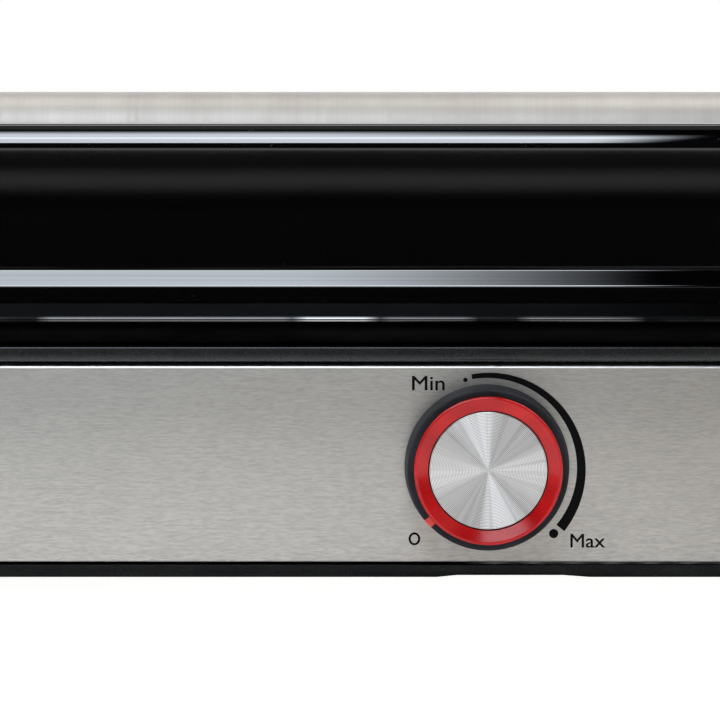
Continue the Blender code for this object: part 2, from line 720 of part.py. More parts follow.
def make_thermostat():
    """Control body behind the panel, its nut in front of it, and the shaft that the knob turns."""
    low_depth, high_depth = 0.0025, 0.0245
    body = primitives("thermostat_body", material=GALVANISED, blocks=[(
        (KNOB_X - 0.019, at_depth(low_depth), KNOB_HEIGHT - 0.016),
        (KNOB_X + 0.019, at_depth(high_depth), KNOB_HEIGHT + 0.016),
    )])
    round_edges(body, 0.0012, 1)
    bush = (
        (KNOB_X, at_depth(-0.0050), KNOB_HEIGHT), (KNOB_X, at_depth(low_depth + 0.001), KNOB_HEIGHT),
        BUSH_RADIUS, 24,
    )
    join(body, primitives("thermostat_bush", rods=[bush]))
    tabs = []
    for side in (-1, 1):
        x = KNOB_X + side * 0.010
        tabs.append((
            (x - 0.0031, at_depth(high_depth - 0.001), KNOB_HEIGHT - 0.0004),
            (x + 0.0031, at_depth(high_depth + 0.008), KNOB_HEIGHT + 0.0004),
        ))
    join(body, primitives("thermostat_tabs", tabs))
    bore = (
        (KNOB_X, at_depth(-0.0060), KNOB_HEIGHT), (KNOB_X, at_depth(0.0200), KNOB_HEIGHT),
        SHAFT_BORE, 16,
    )
    cut(body, primitives("thermostat_bore", rods=[bore]))

    across_flats = 0.0140
    hexagon = arc((KNOB_X, KNOB_HEIGHT), across_flats / math.sqrt(3.0), 0.0, 300.0, 5)
    loops = [hexagon, circle((KNOB_X, KNOB_HEIGHT), BUSH_RADIUS + GAP, 24)]
    extruded("thermostat_nut", loops, -at_depth(-GAP), -at_depth(-0.0028), TURN_FRONT, GALVANISED)

    shaft = primitives("thermostat_shaft", material=STAINLESS, rods=[(
        (KNOB_X, at_depth(-0.0088), KNOB_HEIGHT), (KNOB_X, at_depth(0.0185), KNOB_HEIGHT),
        SHAFT_RADIUS, 16,
    )])
    flat = (
        (KNOB_X - 0.004, at_depth(-0.010), KNOB_HEIGHT + 0.0016),
        (KNOB_X + 0.004, at_depth(-0.0055), KNOB_HEIGHT + 0.004),
    )
    cut(shaft, primitives("shaft_flat", [flat]))


KNOB_SKIRT_RADIUS = 0.0206
KNOB_FACE_RADIUS = 0.0200
KNOB_RING_OUTER = 0.0184
KNOB_RING_INNER = 0.0149
KNOB_CAP_RADIUS = 0.0146
KNOB_FACE = 0.0118
KNOB_RING_LOW = 0.0129
KNOB_CAP_FRONT = 0.0127


def make_knob():
    """Tapered skirt on the shaft, a dished coloured ring on its face and a metal cap inside it.

    Heights run towards the front from the panel's face.
    """
    origin = (KNOB_X, at_depth(0.0), KNOB_HEIGHT)
    inner_face = KNOB_FACE - 0.0020
    skirt = [
        (0.0, KNOB_FACE), (KNOB_FACE_RADIUS - 0.0006, KNOB_FACE),
        (KNOB_FACE_RADIUS, KNOB_FACE - 0.0006), (KNOB_SKIRT_RADIUS, 0.0008),
        (KNOB_SKIRT_RADIUS - 0.0018, 0.0008), (KNOB_FACE_RADIUS - 0.0020, inner_face),
        (0.0062, inner_face), (0.0062, 0.0055), (SHAFT_BORE, 0.0055), (SHAFT_BORE, inner_face),
        (0.0, inner_face),
    ]
    turned("knob_skirt", skirt, 40, TURN_FRONT, BLACK_PLASTIC, origin)

    ring_back, edge = KNOB_FACE + GAP, 0.0007
    ring = [
        (KNOB_RING_OUTER, ring_back), (KNOB_RING_INNER, ring_back),
        (KNOB_RING_INNER, KNOB_RING_LOW),
        (KNOB_RING_OUTER - edge, KNOB_PROUD), (KNOB_RING_OUTER, KNOB_PROUD - edge),
    ]
    turned("knob_ring", ring, 40, TURN_FRONT, RED_PLASTIC, origin)

    cap = [
        (0.0, KNOB_CAP_FRONT), (KNOB_CAP_RADIUS - 0.0002, KNOB_CAP_FRONT),
        (KNOB_CAP_RADIUS, KNOB_CAP_FRONT - 0.0002), (KNOB_CAP_RADIUS, ring_back),
        (0.0, ring_back),
    ]
    turned("knob_cap", cap, 40, TURN_FRONT, SPUN_ALUMINIUM, origin)


def make_inlet():
    """Recessed mains inlet with three blades, flanged against the rear panel."""
    rear = BODY_DEPTH
    body = primitives("power_inlet", material=BLACK_PLASTIC, blocks=[(
        (INLET_X - INLET_HALF_WIDTH, at_depth(rear - 0.024), INLET_HEIGHT - INLET_HALF_HEIGHT),
        (INLET_X + INLET_HALF_WIDTH, at_depth(rear + 0.001), INLET_HEIGHT + INLET_HALF_HEIGHT),
    )])
    flange = [(
        (INLET_X - 0.0155, at_depth(rear + GAP), INLET_HEIGHT - 0.0120),
        (INLET_X + 0.0155, at_depth(rear + INLET_PROUD), INLET_HEIGHT + 0.0120),
    )]
    join(body, primitives("inlet_flange", flange))
    socket_floor = at_depth(rear - 0.016)
    socket = [(
        (INLET_X - 0.0120, socket_floor, INLET_HEIGHT - 0.0085),
        (INLET_X + 0.0120, at_depth(rear + 0.004), INLET_HEIGHT + 0.0085),
    )]
    cut(body, primitives("inlet_socket", socket))
    blades = []
    for x_offset, height_offset in ((-0.007, -0.002), (0.0, 0.002), (0.007, -0.002)):
        x, z = INLET_X + x_offset, INLET_HEIGHT + height_offset
        blades.append((
            (x - 0.0010, socket_floor - 0.002, z - 0.0020), (x + 0.0010, at_depth(rear - 0.006), z + 0.0020),
        ))
    join(body, primitives("inlet_blades", blades))


def make_wiring_pieces():
    block_low = Vector((-0.100, at_depth(0.150), FLOOR_TOP + GAP))
    block_size = Vector((0.050, 0.018, 0.014))
    block = primitives("terminal_block", material=PHENOLIC, blocks=[(block_low, block_low + block_size)])
    barriers = []
    for step in range(4):
        x = block_low.x + 0.007 + 0.012 * step
        barriers.append((
            (x - 0.003, block_low.y - 0.001, block_low.z + 0.008),
            (x + 0.003, block_low.y + 0.019, block_low.z + 0.015),
        ))
    cut(block, primitives("terminal_slots", barriers))

    top = DECK_UNDERSIDE - GAP
    profile = [
        (0.0, top), (0.011, top), (0.011, top - 0.0015), (0.008, top - 0.0015),
        (0.008, top - 0.010), (0.0, top - 0.010),
    ]
    turned("thermal_cutout", profile, 20, TURN_NONE, CERAMIC, (0.070, at_depth(0.110), 0.0))


# ---------------------------------------------------------------------------------------------
# The whole grill
# ---------------------------------------------------------------------------------------------

make_base_pan()
make_feet()
make_front_panel()
make_rear_panel()
make_deck()
make_rails()
make_drip_tray()
for tower_side, tower_name in ((-1, "left"), (1, "right")):
    make_inner_plate(tower_side, tower_name + "_inner_plate")
    make_end_cover(tower_side, tower_name + "_end_cover")
    make_heater_bracket(tower_side, tower_name + "_heater_bracket")
    for roller_index in range(ROLLER_COUNT):
        make_bush(tower_side, roller_index, f"bush_{tower_name}_{roller_index + 1}")
for roller_index in range(ROLLER_COUNT):
    make_roller(roller_index)
    make_heater(roller_index)
make_idler_carrier()
make_gears()
make_motor()
make_thermostat()
make_knob()
make_inlet()
make_wiring_pieces()
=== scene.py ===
"""Looks of the countertop hot dog roller grill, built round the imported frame.

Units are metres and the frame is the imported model's own: +X right, +Y back, +Z up. Sections are
drawn as (depth, height), where depth runs backwards from the front panel's face.
"""

import json
import math
import random

import bmesh
import bpy
from mathutils import Matrix, Vector


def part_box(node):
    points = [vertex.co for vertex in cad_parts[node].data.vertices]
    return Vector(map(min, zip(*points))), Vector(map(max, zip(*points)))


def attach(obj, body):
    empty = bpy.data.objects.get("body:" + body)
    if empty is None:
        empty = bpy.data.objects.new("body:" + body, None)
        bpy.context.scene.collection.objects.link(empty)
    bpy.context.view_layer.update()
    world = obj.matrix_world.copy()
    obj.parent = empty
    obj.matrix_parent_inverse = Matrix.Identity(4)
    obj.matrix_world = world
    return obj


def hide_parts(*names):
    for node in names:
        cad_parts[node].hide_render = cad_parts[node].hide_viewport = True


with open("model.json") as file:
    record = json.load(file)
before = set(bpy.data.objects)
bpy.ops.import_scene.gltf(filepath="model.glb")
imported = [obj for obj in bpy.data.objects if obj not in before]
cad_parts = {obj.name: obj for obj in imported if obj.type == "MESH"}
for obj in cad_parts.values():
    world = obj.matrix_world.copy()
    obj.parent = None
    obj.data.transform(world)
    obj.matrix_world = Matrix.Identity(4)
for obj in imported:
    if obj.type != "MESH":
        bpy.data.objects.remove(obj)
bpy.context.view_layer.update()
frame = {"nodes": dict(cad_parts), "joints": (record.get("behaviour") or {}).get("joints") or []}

# ---- Places read from the frame ----

def box(node):
    """Lowest and highest corner of a CAD node at rest."""
    return [Vector(corner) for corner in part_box(node)]


JOINTS = {joint["name"]: joint for joint in frame["joints"]}
ROLLERS = range(1, 6)
SIDES = ((-1, "left"), (1, "right"))

PANEL_LOW, PANEL_HIGH = box("front_panel")
BASE_LOW, BASE_HIGH = box("base_pan")
Y_FRONT = PANEL_LOW.y
SPAN = PANEL_HIGH.x
BODY_DEPTH = BASE_HIGH.y - BASE_LOW.y
CABINET_BOTTOM = PANEL_LOW.z
PANEL_TOP = PANEL_HIGH.z
KNOB = Vector(JOINTS["knob_turn"]["pos_m"])
ROLLER_AXES = [Vector(JOINTS[f"roller_{index}_turn"]["pos_m"]) for index in ROLLERS]
GAP = 0.0003

ALONG_X = Matrix(((0.0, 0.0, 1.0), (1.0, 0.0, 0.0), (0.0, 1.0, 0.0))).to_4x4()
ALONG_FRONT = Matrix.Rotation(math.radians(90.0), 4, "X")
ALONG_Z = Matrix.Identity(4)


def at_depth(depth):
    """Y of a place that lies this far behind the front panel's face."""
    return Y_FRONT + depth


def section(points):
    """(y, z) of points given as (depth, height)."""
    return [(at_depth(depth), height) for depth, height in points]


# ---- Outlines and meshes ----

SHARP_ANGLE = math.radians(32.0)
WELD_DISTANCE = 1e-7
WHITE = (1.0, 1.0, 1.0)


def arc(center, radius, start, end, steps):
    """Points of a round stretch from one angle to another, in degrees, ends included."""
    points = []
    for step in range(steps + 1):
        angle = math.radians(start + (end - start) * step / steps)
        points.append((center[0] + radius * math.cos(angle), center[1] + radius * math.sin(angle)))
    return points


def circle(center, radius, segments):
    return arc(center, radius, 0.0, 360.0, segments)[:-1]


def filleted(corners, closed=False, step=9.0):
    """Points of a line through corners given as (x, y, radius), each rounded by its radius."""
    points = []
    count = len(corners)
    for index, (x, y, radius) in enumerate(corners):
        here = Vector((x, y))
        if radius == 0.0 or (not closed and index in (0, count - 1)):
            points.append((x, y))
            continue
        before = (Vector(corners[index - 1][:2]) - here).normalized()
        after = (Vector(corners[(index + 1) % count][:2]) - here).normalized()
        half = before.angle(after) / 2.0
        center = here + (before + after).normalized() * radius / math.sin(half)
        first = here + before * radius / math.tan(half) - center
        last = here + after * radius / math.tan(half) - center
        start = math.atan2(first.y, first.x)
        sweep = (math.atan2(last.y, last.x) - start + math.pi) % (2.0 * math.pi) - math.pi
        steps = max(2, math.ceil(abs(math.degrees(sweep)) / step - 0.001))
        points += arc(center, radius, math.degrees(start), math.degrees(start + sweep), steps)
    return points


def rectangle(low, high, radius):
    """Outline of a rectangle whose corners are rounded."""
    return filleted([(low[0], low[1], radius), (high[0], low[1], radius),
                     (high[0], high[1], radius), (low[0], high[1], radius)], closed=True)


def placed(name, data):
    """A new object in the scene that shows this mesh, curve, text or camera."""
    piece = bpy.data.objects.new(name, data)
    bpy.context.scene.collection.objects.link(piece)
    return piece


def built(name, work):
    """A new object from a bmesh, which is freed."""
    mesh = bpy.data.meshes.new(name)
    work.to_mesh(mesh)
    work.free()
    return placed(name, mesh)


def evaluated_mesh(piece):
    """The piece's mesh with its modifiers applied; the piece itself is removed."""
    graph = bpy.context.evaluated_depsgraph_get()
    mesh = bpy.data.meshes.new_from_object(piece.evaluated_get(graph))
    mesh.name = piece.name
    bpy.data.objects.remove(piece, do_unlink=True)
    return mesh


def weld(mesh, outward=True):
    """Join points that coincide and, on a closed mesh, turn the faces outward."""
    work = bmesh.new()
    work.from_mesh(mesh)
    bmesh.ops.remove_doubles(work, verts=work.verts, dist=WELD_DISTANCE)
    if outward:
        bmesh.ops.recalc_face_normals(work, faces=work.faces)
    work.to_mesh(mesh)
    work.free()


def shade(piece):
    """Smooth shading, with sharp edges where faces meet at more than SHARP_ANGLE."""
    piece.data.shade_smooth()
    piece.data.set_sharp_from_angle(angle=SHARP_ANGLE)
    return piece


def curve_mesh(name, loops, start, end, turn, closed):
    """Flat loops widened from start to end along the direction that the turn gives."""
    curve = bpy.data.curves.new(name, "CURVE")
    curve.dimensions = "2D"
    curve.fill_mode = "BOTH" if closed else "NONE"
    curve.extrude = abs(end - start) / 2.0
    curve.resolution_u = 1
    for loop in loops:
        spline = curve.splines.new("POLY")
        spline.points.add(len(loop) - 1)
        spline.use_cyclic_u = closed
        for point, (x, y) in zip(spline.points, loop):
            point.co = (x, y, 0.0, 1.0)
    mesh = evaluated_mesh(placed(name, curve))
    mesh.transform(turn @ Matrix.Translation((0.0, 0.0, (start + end) / 2.0)))
    weld(mesh, closed)
    return mesh


def extruded(name, loops, start, end, turn):
    """Solid with flat ends from closed loops; a loop inside another is a hole."""
    return shade(placed(name, curve_mesh(name, loops, start, end, turn, True)))


def thickened(piece, thickness, offset=-1.0):
    """Wall behind the piece's faces, or on both sides of them where the offset is 0."""
    solid = piece.modifiers.new("Thickness", "SOLIDIFY")
    solid.thickness = thickness
    solid.offset = offset
    solid.use_even_offset = offset != 0.0
    return piece


def bent_sheet(name, profile, start, end, thickness):
    """Sheet folded along X: the profile is its outer face, and the metal lies on its right side."""
    mesh = curve_mesh(name, [profile], start, end, ALONG_X, False)
    return shade(thickened(placed(name, mesh), thickness))


def turned(name, profile, center, turn, segments):
    """Turned solid. The profile is (radius, height) and runs down its outer side."""
    edges = [(index, index + 1) for index in range(len(profile) - 1)]
    if profile[0][0] != 0.0:
        edges.append((len(profile) - 1, 0))
    mesh = bpy.data.meshes.new(name)
    mesh.from_pydata([(radius, 0.0, height) for radius, height in profile], edges, [])
    piece = placed(name, mesh)
    screw = piece.modifiers.new("Turn", "SCREW")
    screw.steps = segments
    screw.render_steps = segments
    screw.use_merge_vertices = True
    screw.merge_threshold = 0.000001
    solid = evaluated_mesh(piece)
    solid.transform(Matrix.Translation(center) @ turn)
    weld(solid)
    return shade(placed(name, solid))


def round_edges(piece, width, segments=3, angle=30.0):
    """Round every edge whose faces meet at more than the angle."""
    bevel = piece.modifiers.new("Rounded edges", "BEVEL")
    bevel.width = width
    bevel.segments = segments
    bevel.limit_method = "ANGLE"
    bevel.angle_limit = math.radians(angle)
    bevel.harden_normals = True
    return piece


def flat_faces(piece):
    """Keep wide flat faces flat where they meet rounded edges."""
    weighted = piece.modifiers.new("Flat faces", "WEIGHTED_NORMAL")
    weighted.weight = 100
    weighted.keep_sharp = True
    return piece


def combine(piece, tool, operation="DIFFERENCE"):
    """Cut the tool out of the piece or join it on, and drop the tool."""
    boolean = piece.modifiers.new(operation.capitalize(), "BOOLEAN")
    boolean.operation = operation
    boolean.object = tool
    boolean.solver = "EXACT"
    name = piece.name
    mesh = evaluated_mesh(piece)
    bpy.data.objects.remove(tool, do_unlink=True)
    return shade(placed(name, mesh))


def merged(name, pieces):
    """One object out of several, which stay separate bodies in its mesh."""
    work = bmesh.new()
    for piece in pieces:
        work.from_mesh(evaluated_mesh(piece))
    return shade(built(name, work))


def block(name, low, high):
    """Plain box between two corners, as a cutter or the start of a shape."""
    work = bmesh.new()
    low, high = Vector(low), Vector(high)
    matrix = Matrix.Translation((low + high) / 2.0) @ Matrix.Diagonal((*(high - low), 1.0))
    bmesh.ops.create_cube(work, size=1.0, matrix=matrix)
    return built(name, work)


# ---- Surfaces ----

def add_node(tree, kind, values=None, **settings):
    """A node with its settings; a value is a number or colour, or another node's output to link."""
    node = tree.nodes.new(kind)
    for name, value in settings.items():
        setattr(node, name, value)
    for key, value in (values or {}).items():
        if isinstance(value, bpy.types.NodeSocket):
            tree.links.new(value, node.inputs[key])
        else:
            node.inputs[key].default_value = value
    return node


class Surface:
    """A Principled material whose patterns lie in the frame's own coordinates at rest."""

    def __init__(self, name, roughness, metallic=0.0, **uniform):
        self.material = bpy.data.materials.new(name)
        self.material.use_nodes = True
        self.tree = self.material.node_tree
        self.shader = self.tree.nodes["Principled BSDF"]
        self.shader.inputs["Roughness"].default_value = roughness
        self.shader.inputs["Metallic"].default_value = metallic
        for socket, value in uniform.items():
            self.shader.inputs[socket.replace("_", " ")].default_value = value
        self.place = self.add("ShaderNodeTexCoord").outputs["Object"]

    def add(self, kind, values=None, **settings):
        return add_node(self.tree, kind, values, **settings)

    def set(self, socket, value):
        """Link a pattern to one of the shader's sockets."""
        self.tree.links.new(value, self.shader.inputs[socket])

    def noise(self, scale, detail=3.0, roughness=0.55, offset=(0.0, 0.0, 0.0)):
        """Noise with this many features a metre, the same each way or given for X, Y and Z."""
        if not isinstance(scale, tuple):
            scale = (scale, scale, scale)
        mapped = self.add("ShaderNodeMapping", {"Vector": self.place, "Scale": scale,
                                                "Location": offset})
        values = {"Vector": mapped.outputs["Vector"], "Scale": 1.0, "Detail": detail,
                  "Roughness": roughness}
        return self.add("ShaderNodeTexNoise", values).outputs["Fac"]

    def span(self, value, low, high, to_low=0.0, to_high=1.0):
        """The value's stretch from low to high, spread over the other stretch and clamped."""
        values = {"Value": value, "From Min": low, "From Max": high,
                  "To Min": to_low, "To Max": to_high}
        return self.add("ShaderNodeMapRange", values).outputs["Result"]

    def vary(self, noise, least, most):
        """A number that follows a noise, whose values mostly lie between 0.3 and 0.7."""
        return self.span(noise, 0.3, 0.7, least, most)

    def math(self, operation, first, second=0.0):
        return self.add("ShaderNodeMath", {0: first, 1: second}, operation=operation).outputs[0]

    def axis(self, name, source=None):
        """One coordinate of the place, or of another vector."""
        parts = self.add("ShaderNodeSeparateXYZ", {"Vector": source or self.place})
        return parts.outputs[name]

    def mix(self, factor, first, second):
        def color(value):
            return value if isinstance(value, bpy.types.NodeSocket) else (*value, 1.0)
        values = {0: factor, 6: color(first), 7: color(second)}
        return self.add("ShaderNodeMix", values, data_type="RGBA").outputs[2]

    def times(self, first, second):
        return self.math("MULTIPLY", first, second)

    def blend(self, value, low, high, first, second, share=1.0):
        """One colour turning into this share of the other as the value goes from low to high."""
        return self.mix(self.span(value, low, high, 0.0, share), first, second)

    def bump(self, height, distance, under=None):
        """Relief of this depth in metres, on top of another relief where one is given."""
        values = {"Height": height, "Distance": distance, "Strength": 1.0}
        if under is not None:
            values["Normal"] = under
        return self.add("ShaderNodeBump", values).outputs["Normal"]

    def direction(self, vector):
        """The tangent from which a stretched gloss takes its direction."""
        values = dict(zip("XYZ", vector))
        self.set("Tangent", self.add("ShaderNodeCombineXYZ", values).outputs["Vector"])

    def finished(self, color, roughness, relief=None):
        """The material, with its three patterns linked."""
        self.set("Base Color", color)
        self.set("Roughness", roughness)
        if relief is not None:
            self.set("Normal", relief)
        return self.material


def panel_steel():
    """Stainless with a horizontal grain. Its colour carries painted reflection: warmer to the right,
    darker near the top and lighter towards the bottom, with a painted highlight along its top edge.
    """
    look = Surface("panel_steel", 0.40, 1.0, Anisotropic=0.72)
    look.direction((0.0, 0.0, 1.0))
    across, height = look.axis("X"), look.axis("Z")
    fine = look.noise((160.0, 4200.0, 4200.0), 2.0)
    grain = look.noise((60.0, 1700.0, 1700.0), 3.0, 0.6)
    short = look.noise((450.0, 2700.0, 2700.0), 2.0, offset=(0.4, 0.2, 0.6))
    broad = look.noise((5.0, 9.0, 26.0), 2.0)
    # Painted reflection: the colour turns warmer towards the right.
    color = look.blend(across, -0.13, 0.08, (0.460, 0.442, 0.412), (0.505, 0.461, 0.410))
    # Painted shade: the colour darkens over the top 24 mm of the panel.
    color = look.blend(height, PANEL_TOP - 0.024, PANEL_TOP, color, (0.330, 0.315, 0.295), 0.34)
    # Painted reflection of the floor: the colour grows lighter towards the bottom.
    color = look.blend(height, PANEL_TOP - 0.010, CABINET_BOTTOM, color, (0.820, 0.765, 0.705), 0.66)
    color = look.blend(grain, 0.35, 0.68, look.mix(0.20, color, (0.25, 0.25, 0.24)), color)
    color = look.blend(short, 0.38, 0.66, color, (0.20, 0.195, 0.185), 0.26)
    color = look.blend(fine, 0.55, 0.80, color, (0.78, 0.77, 0.74), 0.18)
    # Painted highlight: a near-white line along the panel's top edge.
    color = look.blend(height, PANEL_TOP - 0.0006, PANEL_TOP - 0.0003, color, (0.98, 0.98, 0.97), 0.85)
    rough = look.math("ADD", look.vary(grain, 0.36, 0.44), look.vary(broad, -0.02, 0.02))
    return look.finished(color, rough, look.bump(fine, 0.0000020, look.bump(grain, 0.0000030)))


def roller_steel():
    """Stainless tube turned smooth, with faint rings round it."""
    look = Surface("roller_steel", 0.50, 1.0, Anisotropic=0.60)
    look.direction((1.0, 0.0, 0.0))
    rings = look.noise((2600.0, 8.0, 8.0))
    bands = look.noise((90.0, 5.0, 5.0), 4.0, 0.6)
    stain = look.noise((30.0, 60.0, 60.0), 4.0)
    color = look.blend(bands, 0.32, 0.70, (0.330, 0.311, 0.288), (0.384, 0.366, 0.340))
    color = look.blend(stain, 0.56, 0.80, color, (0.31, 0.285, 0.25), 0.25)
    return look.finished(color, look.vary(rings, 0.46, 0.56), look.bump(rings, 0.0000015))


# The enamel is rippled up to a little over the rail's chamfer.
RIPPLES_FADE, RIPPLES_TOP = 0.0808, 0.0815


def gloss_enamel():
    """Deep black stoved gloss: orange peel, a slow swell, drawn ripples low down, fine dust."""
    look = Surface("gloss_enamel", 0.05, 0.0, IOR=1.50, Coat_Weight=1.0, Coat_IOR=2.00,
                   Coat_Roughness=0.02)
    specks = look.noise(2300.0, 1.0)
    patches = look.noise(60.0, offset=(0.3, 0.1, 0.2))
    dust = look.times(look.span(specks, 0.70, 0.78), look.span(patches, 0.42, 0.70))
    color = look.mix(look.times(dust, 0.35), (0.0007, 0.0007, 0.0009), (0.10, 0.10, 0.095))
    peel = look.noise(420.0, 2.0)
    swell = look.noise((13.0, 1.0, 5.0), 1.0)
    ripple = look.times(look.noise((3.0, 950.0, 950.0), 2.0),
                        look.span(look.axis("Z"), RIPPLES_TOP, RIPPLES_FADE))
    drawn = look.bump(ripple, 0.0000220, look.bump(swell, 0.0000450))
    relief = look.bump(peel, 0.0000004, drawn)
    look.set("Coat Normal", relief)
    return look.finished(color, look.span(dust, 0.0, 1.0, 0.045, 0.55), relief)


# Dust has settled on the tray's floor, and thins out up to this height.
SETTLED_FULL, SETTLED_TOP = 0.0645, 0.0665


def tray_enamel():
    """Older, duller enamel of the tray, dusty on its upward faces and most of all on its floor."""
    look = Surface("tray_enamel", 0.30, 0.0, IOR=1.09, Specular_IOR_Level=0.16)
    upward = look.span(look.axis("Z", look.add("ShaderNodeNewGeometry").outputs["Normal"]), 0.5, 0.95)
    specks = look.noise(2600.0, 2.0)
    film = look.noise((45.0, 130.0, 130.0), 4.0, 0.6)
    dust = look.times(upward, look.span(specks, 0.60, 0.74))
    filmed = look.times(upward, look.span(film, 0.35, 0.75, 0.0, 0.010))
    settled = look.times(look.span(look.axis("Z"), SETTLED_TOP, SETTLED_FULL), look.vary(film, 0.3, 1.0))
    color = look.mix(filmed, (0.0004, 0.0004, 0.0005), (0.03, 0.03, 0.029))
    color = look.mix(settled, color, (0.0105, 0.0105, 0.0110))
    color = look.mix(look.times(dust, 0.018), color, (0.10, 0.098, 0.094))
    rough = look.math("ADD", look.vary(film, 0.24, 0.36), look.times(dust, 0.3))
    return look.finished(color, rough, look.bump(look.noise(500.0, 2.0), 0.0000015))


# Stretches of the tray's rolled edge that fingers have polished: start and end along X, and gloss.
POLISHED = ((-0.111, -0.049, 0.32), (-0.0468, -0.0288, 1.0), (-0.026, -0.004, 0.24),
            (0.0092, 0.0380, 0.22))
POLISHED_FADE = 0.002


def bead_enamel():
    """Rolled edge of the tray, glossy only where it has been polished by use."""
    look = Surface("bead_enamel", 0.40, 0.0, IOR=1.12, Coat_IOR=3.4, Coat_Roughness=0.04)
    across = look.axis("X")
    gloss = look.span(look.noise((60.0, 1.0, 1.0), 2.0), 0.4, 0.8, 0.0, 0.05)
    for start, end, level in POLISHED:
        window = look.times(look.span(across, start - POLISHED_FADE, start + POLISHED_FADE),
                            look.span(across, end + POLISHED_FADE, end - POLISHED_FADE))
        gloss = look.math("ADD", gloss, look.times(window, level))
    look.set("Coat Weight", gloss)
    specks = look.noise(2600.0, 2.0)
    color = look.blend(specks, 0.5, 0.8, (0.0008, 0.0008, 0.0009), (0.006, 0.006, 0.006))
    return look.finished(color, look.vary(specks, 0.3, 0.5), look.bump(look.noise(500.0, 2.0), 0.0000008))


def satin_paint(name, index, dark, light):
    """Satin black powder coat with its fine pebbled skin."""
    look = Surface(name, 0.24, 0.0, IOR=index)
    pebble = look.noise(1500.0)
    wear = look.noise((120.0, 260.0, 260.0), 4.0)
    color = look.blend(wear, 0.45, 0.75, dark, light)
    return look.finished(color, look.vary(pebble, 0.20, 0.30), look.bump(pebble, 0.0000030))


def cover_plastic():
    """Black moulded plastic with a spark-eroded texture, slightly polished where it is handled."""
    look = Surface("cover_plastic", 0.45, 0.0, IOR=1.49, Specular_IOR_Level=0.32)
    texture = look.noise(1300.0, 4.0, 0.65)
    mottled = look.noise(38.0)
    color = look.blend(mottled, 0.3, 0.7, (0.0070, 0.0070, 0.0078), (0.0115, 0.0113, 0.0118))
    rough = look.math("ADD", look.vary(mottled, 0.36, 0.46), look.vary(texture, -0.03, 0.06))
    return look.finished(color, rough, look.bump(texture, 0.0000220))


def skirt_plastic():
    """Satin black knob moulding with a bluish bloom and fine dust."""
    look = Surface("skirt_plastic", 0.55, 0.0, IOR=1.36, Specular_IOR_Level=0.3)
    grain = look.noise(2200.0)
    specks = look.noise(2900.0, 1.0, offset=(0.7, 0.2, 0.5))
    bloom = look.noise(90.0)
    color = look.blend(bloom, 0.35, 0.7, (0.0060, 0.0064, 0.0080), (0.0140, 0.0156, 0.0215))
    color = look.blend(specks, 0.72, 0.80, color, (0.22, 0.23, 0.25), 0.25)
    return look.finished(color, look.vary(grain, 0.50, 0.62), look.bump(grain, 0.0000060))


def red_gloss():
    """Glossy red moulding with slight flow waviness and scuffs."""
    look = Surface("red_gloss", 0.30, 0.0, IOR=1.45, Specular_IOR_Level=0.42)
    wave = look.noise(750.0)
    cloud = look.noise(140.0)
    scuff = look.noise((1900.0, 500.0, 1900.0), 4.0, 0.7)
    color = look.blend(cloud, 0.35, 0.68, (0.260, 0.002, 0.003), (0.355, 0.006, 0.006))
    color = look.blend(scuff, 0.66, 0.84, color, (0.60, 0.14, 0.12), 0.08)
    relief = look.bump(scuff, 0.0000020, look.bump(wave, 0.0000090))
    return look.finished(color, look.span(scuff, 0.4, 0.75, 0.14, 0.28), relief)


def pointer_red():
    """Orange-red paint of the knob's tick."""
    look = Surface("pointer_red", 0.34, 0.0, IOR=1.5)
    cloud = look.noise(500.0, 4.0)
    color = look.blend(cloud, 0.35, 0.7, (0.44, 0.022, 0.014), (0.53, 0.036, 0.022))
    return look.finished(color, look.vary(cloud, 0.28, 0.42), look.bump(cloud, 0.0000050))


GROOVE_PITCH = 0.00036


def spun_metal():
    """Turned aluminium: grooves run round the knob's axis, and the light fans out across them; painted
    reflection also darkens sectors round the axis like those fans.
    """
    look = Surface("spun_metal", 0.46, 1.0, Anisotropic=1.0)

    def vector(operation, *values):
        return look.add("ShaderNodeVectorMath", dict(enumerate(values)), operation=operation).outputs

    def rings(scale, detail):
        values = {"W": radius, "Scale": scale, "Detail": detail}
        return look.add("ShaderNodeTexNoise", values, noise_dimensions="1D").outputs["Fac"]

    flat = vector("MULTIPLY", vector("SUBTRACT", look.place, tuple(KNOB))[0], (1.0, 0.0, 1.0))[0]
    radius = vector("LENGTH", flat)["Value"]
    outward = look.add("ShaderNodeVectorTransform", {"Vector": flat},
                       vector_type="VECTOR", convert_from="OBJECT", convert_to="WORLD")
    look.set("Tangent", outward.outputs["Vector"])
    turns = look.math("SINE", look.times(radius, 2.0 * math.pi / GROOVE_PITCH))
    # Painted reflection: sectors round the knob's axis, chosen by a noise of the direction from it, are
    # darkened to copy the light's fans.
    fan_pattern_inputs = {"Vector": vector("NORMALIZE", flat)[0], "Scale": 7.0, "Detail": 4.0, "Roughness": 0.65}
    painted_fans = look.add("ShaderNodeTexNoise", fan_pattern_inputs).outputs["Fac"]
    color = look.blend(turns, -0.8, 0.8, (0.44, 0.43, 0.425), (0.99, 0.965, 0.950))
    color = look.blend(painted_fans, 0.47, 0.62, color, (0.40, 0.39, 0.385), 0.45)
    color = look.blend(rings(900.0, 2.0), 0.3, 0.7, color, (0.66, 0.645, 0.635), 0.20)
    grooves = rings(4200.0, 3.0)
    return look.finished(color, look.vary(grooves, 0.29, 0.35), look.bump(grooves, 0.0000005))


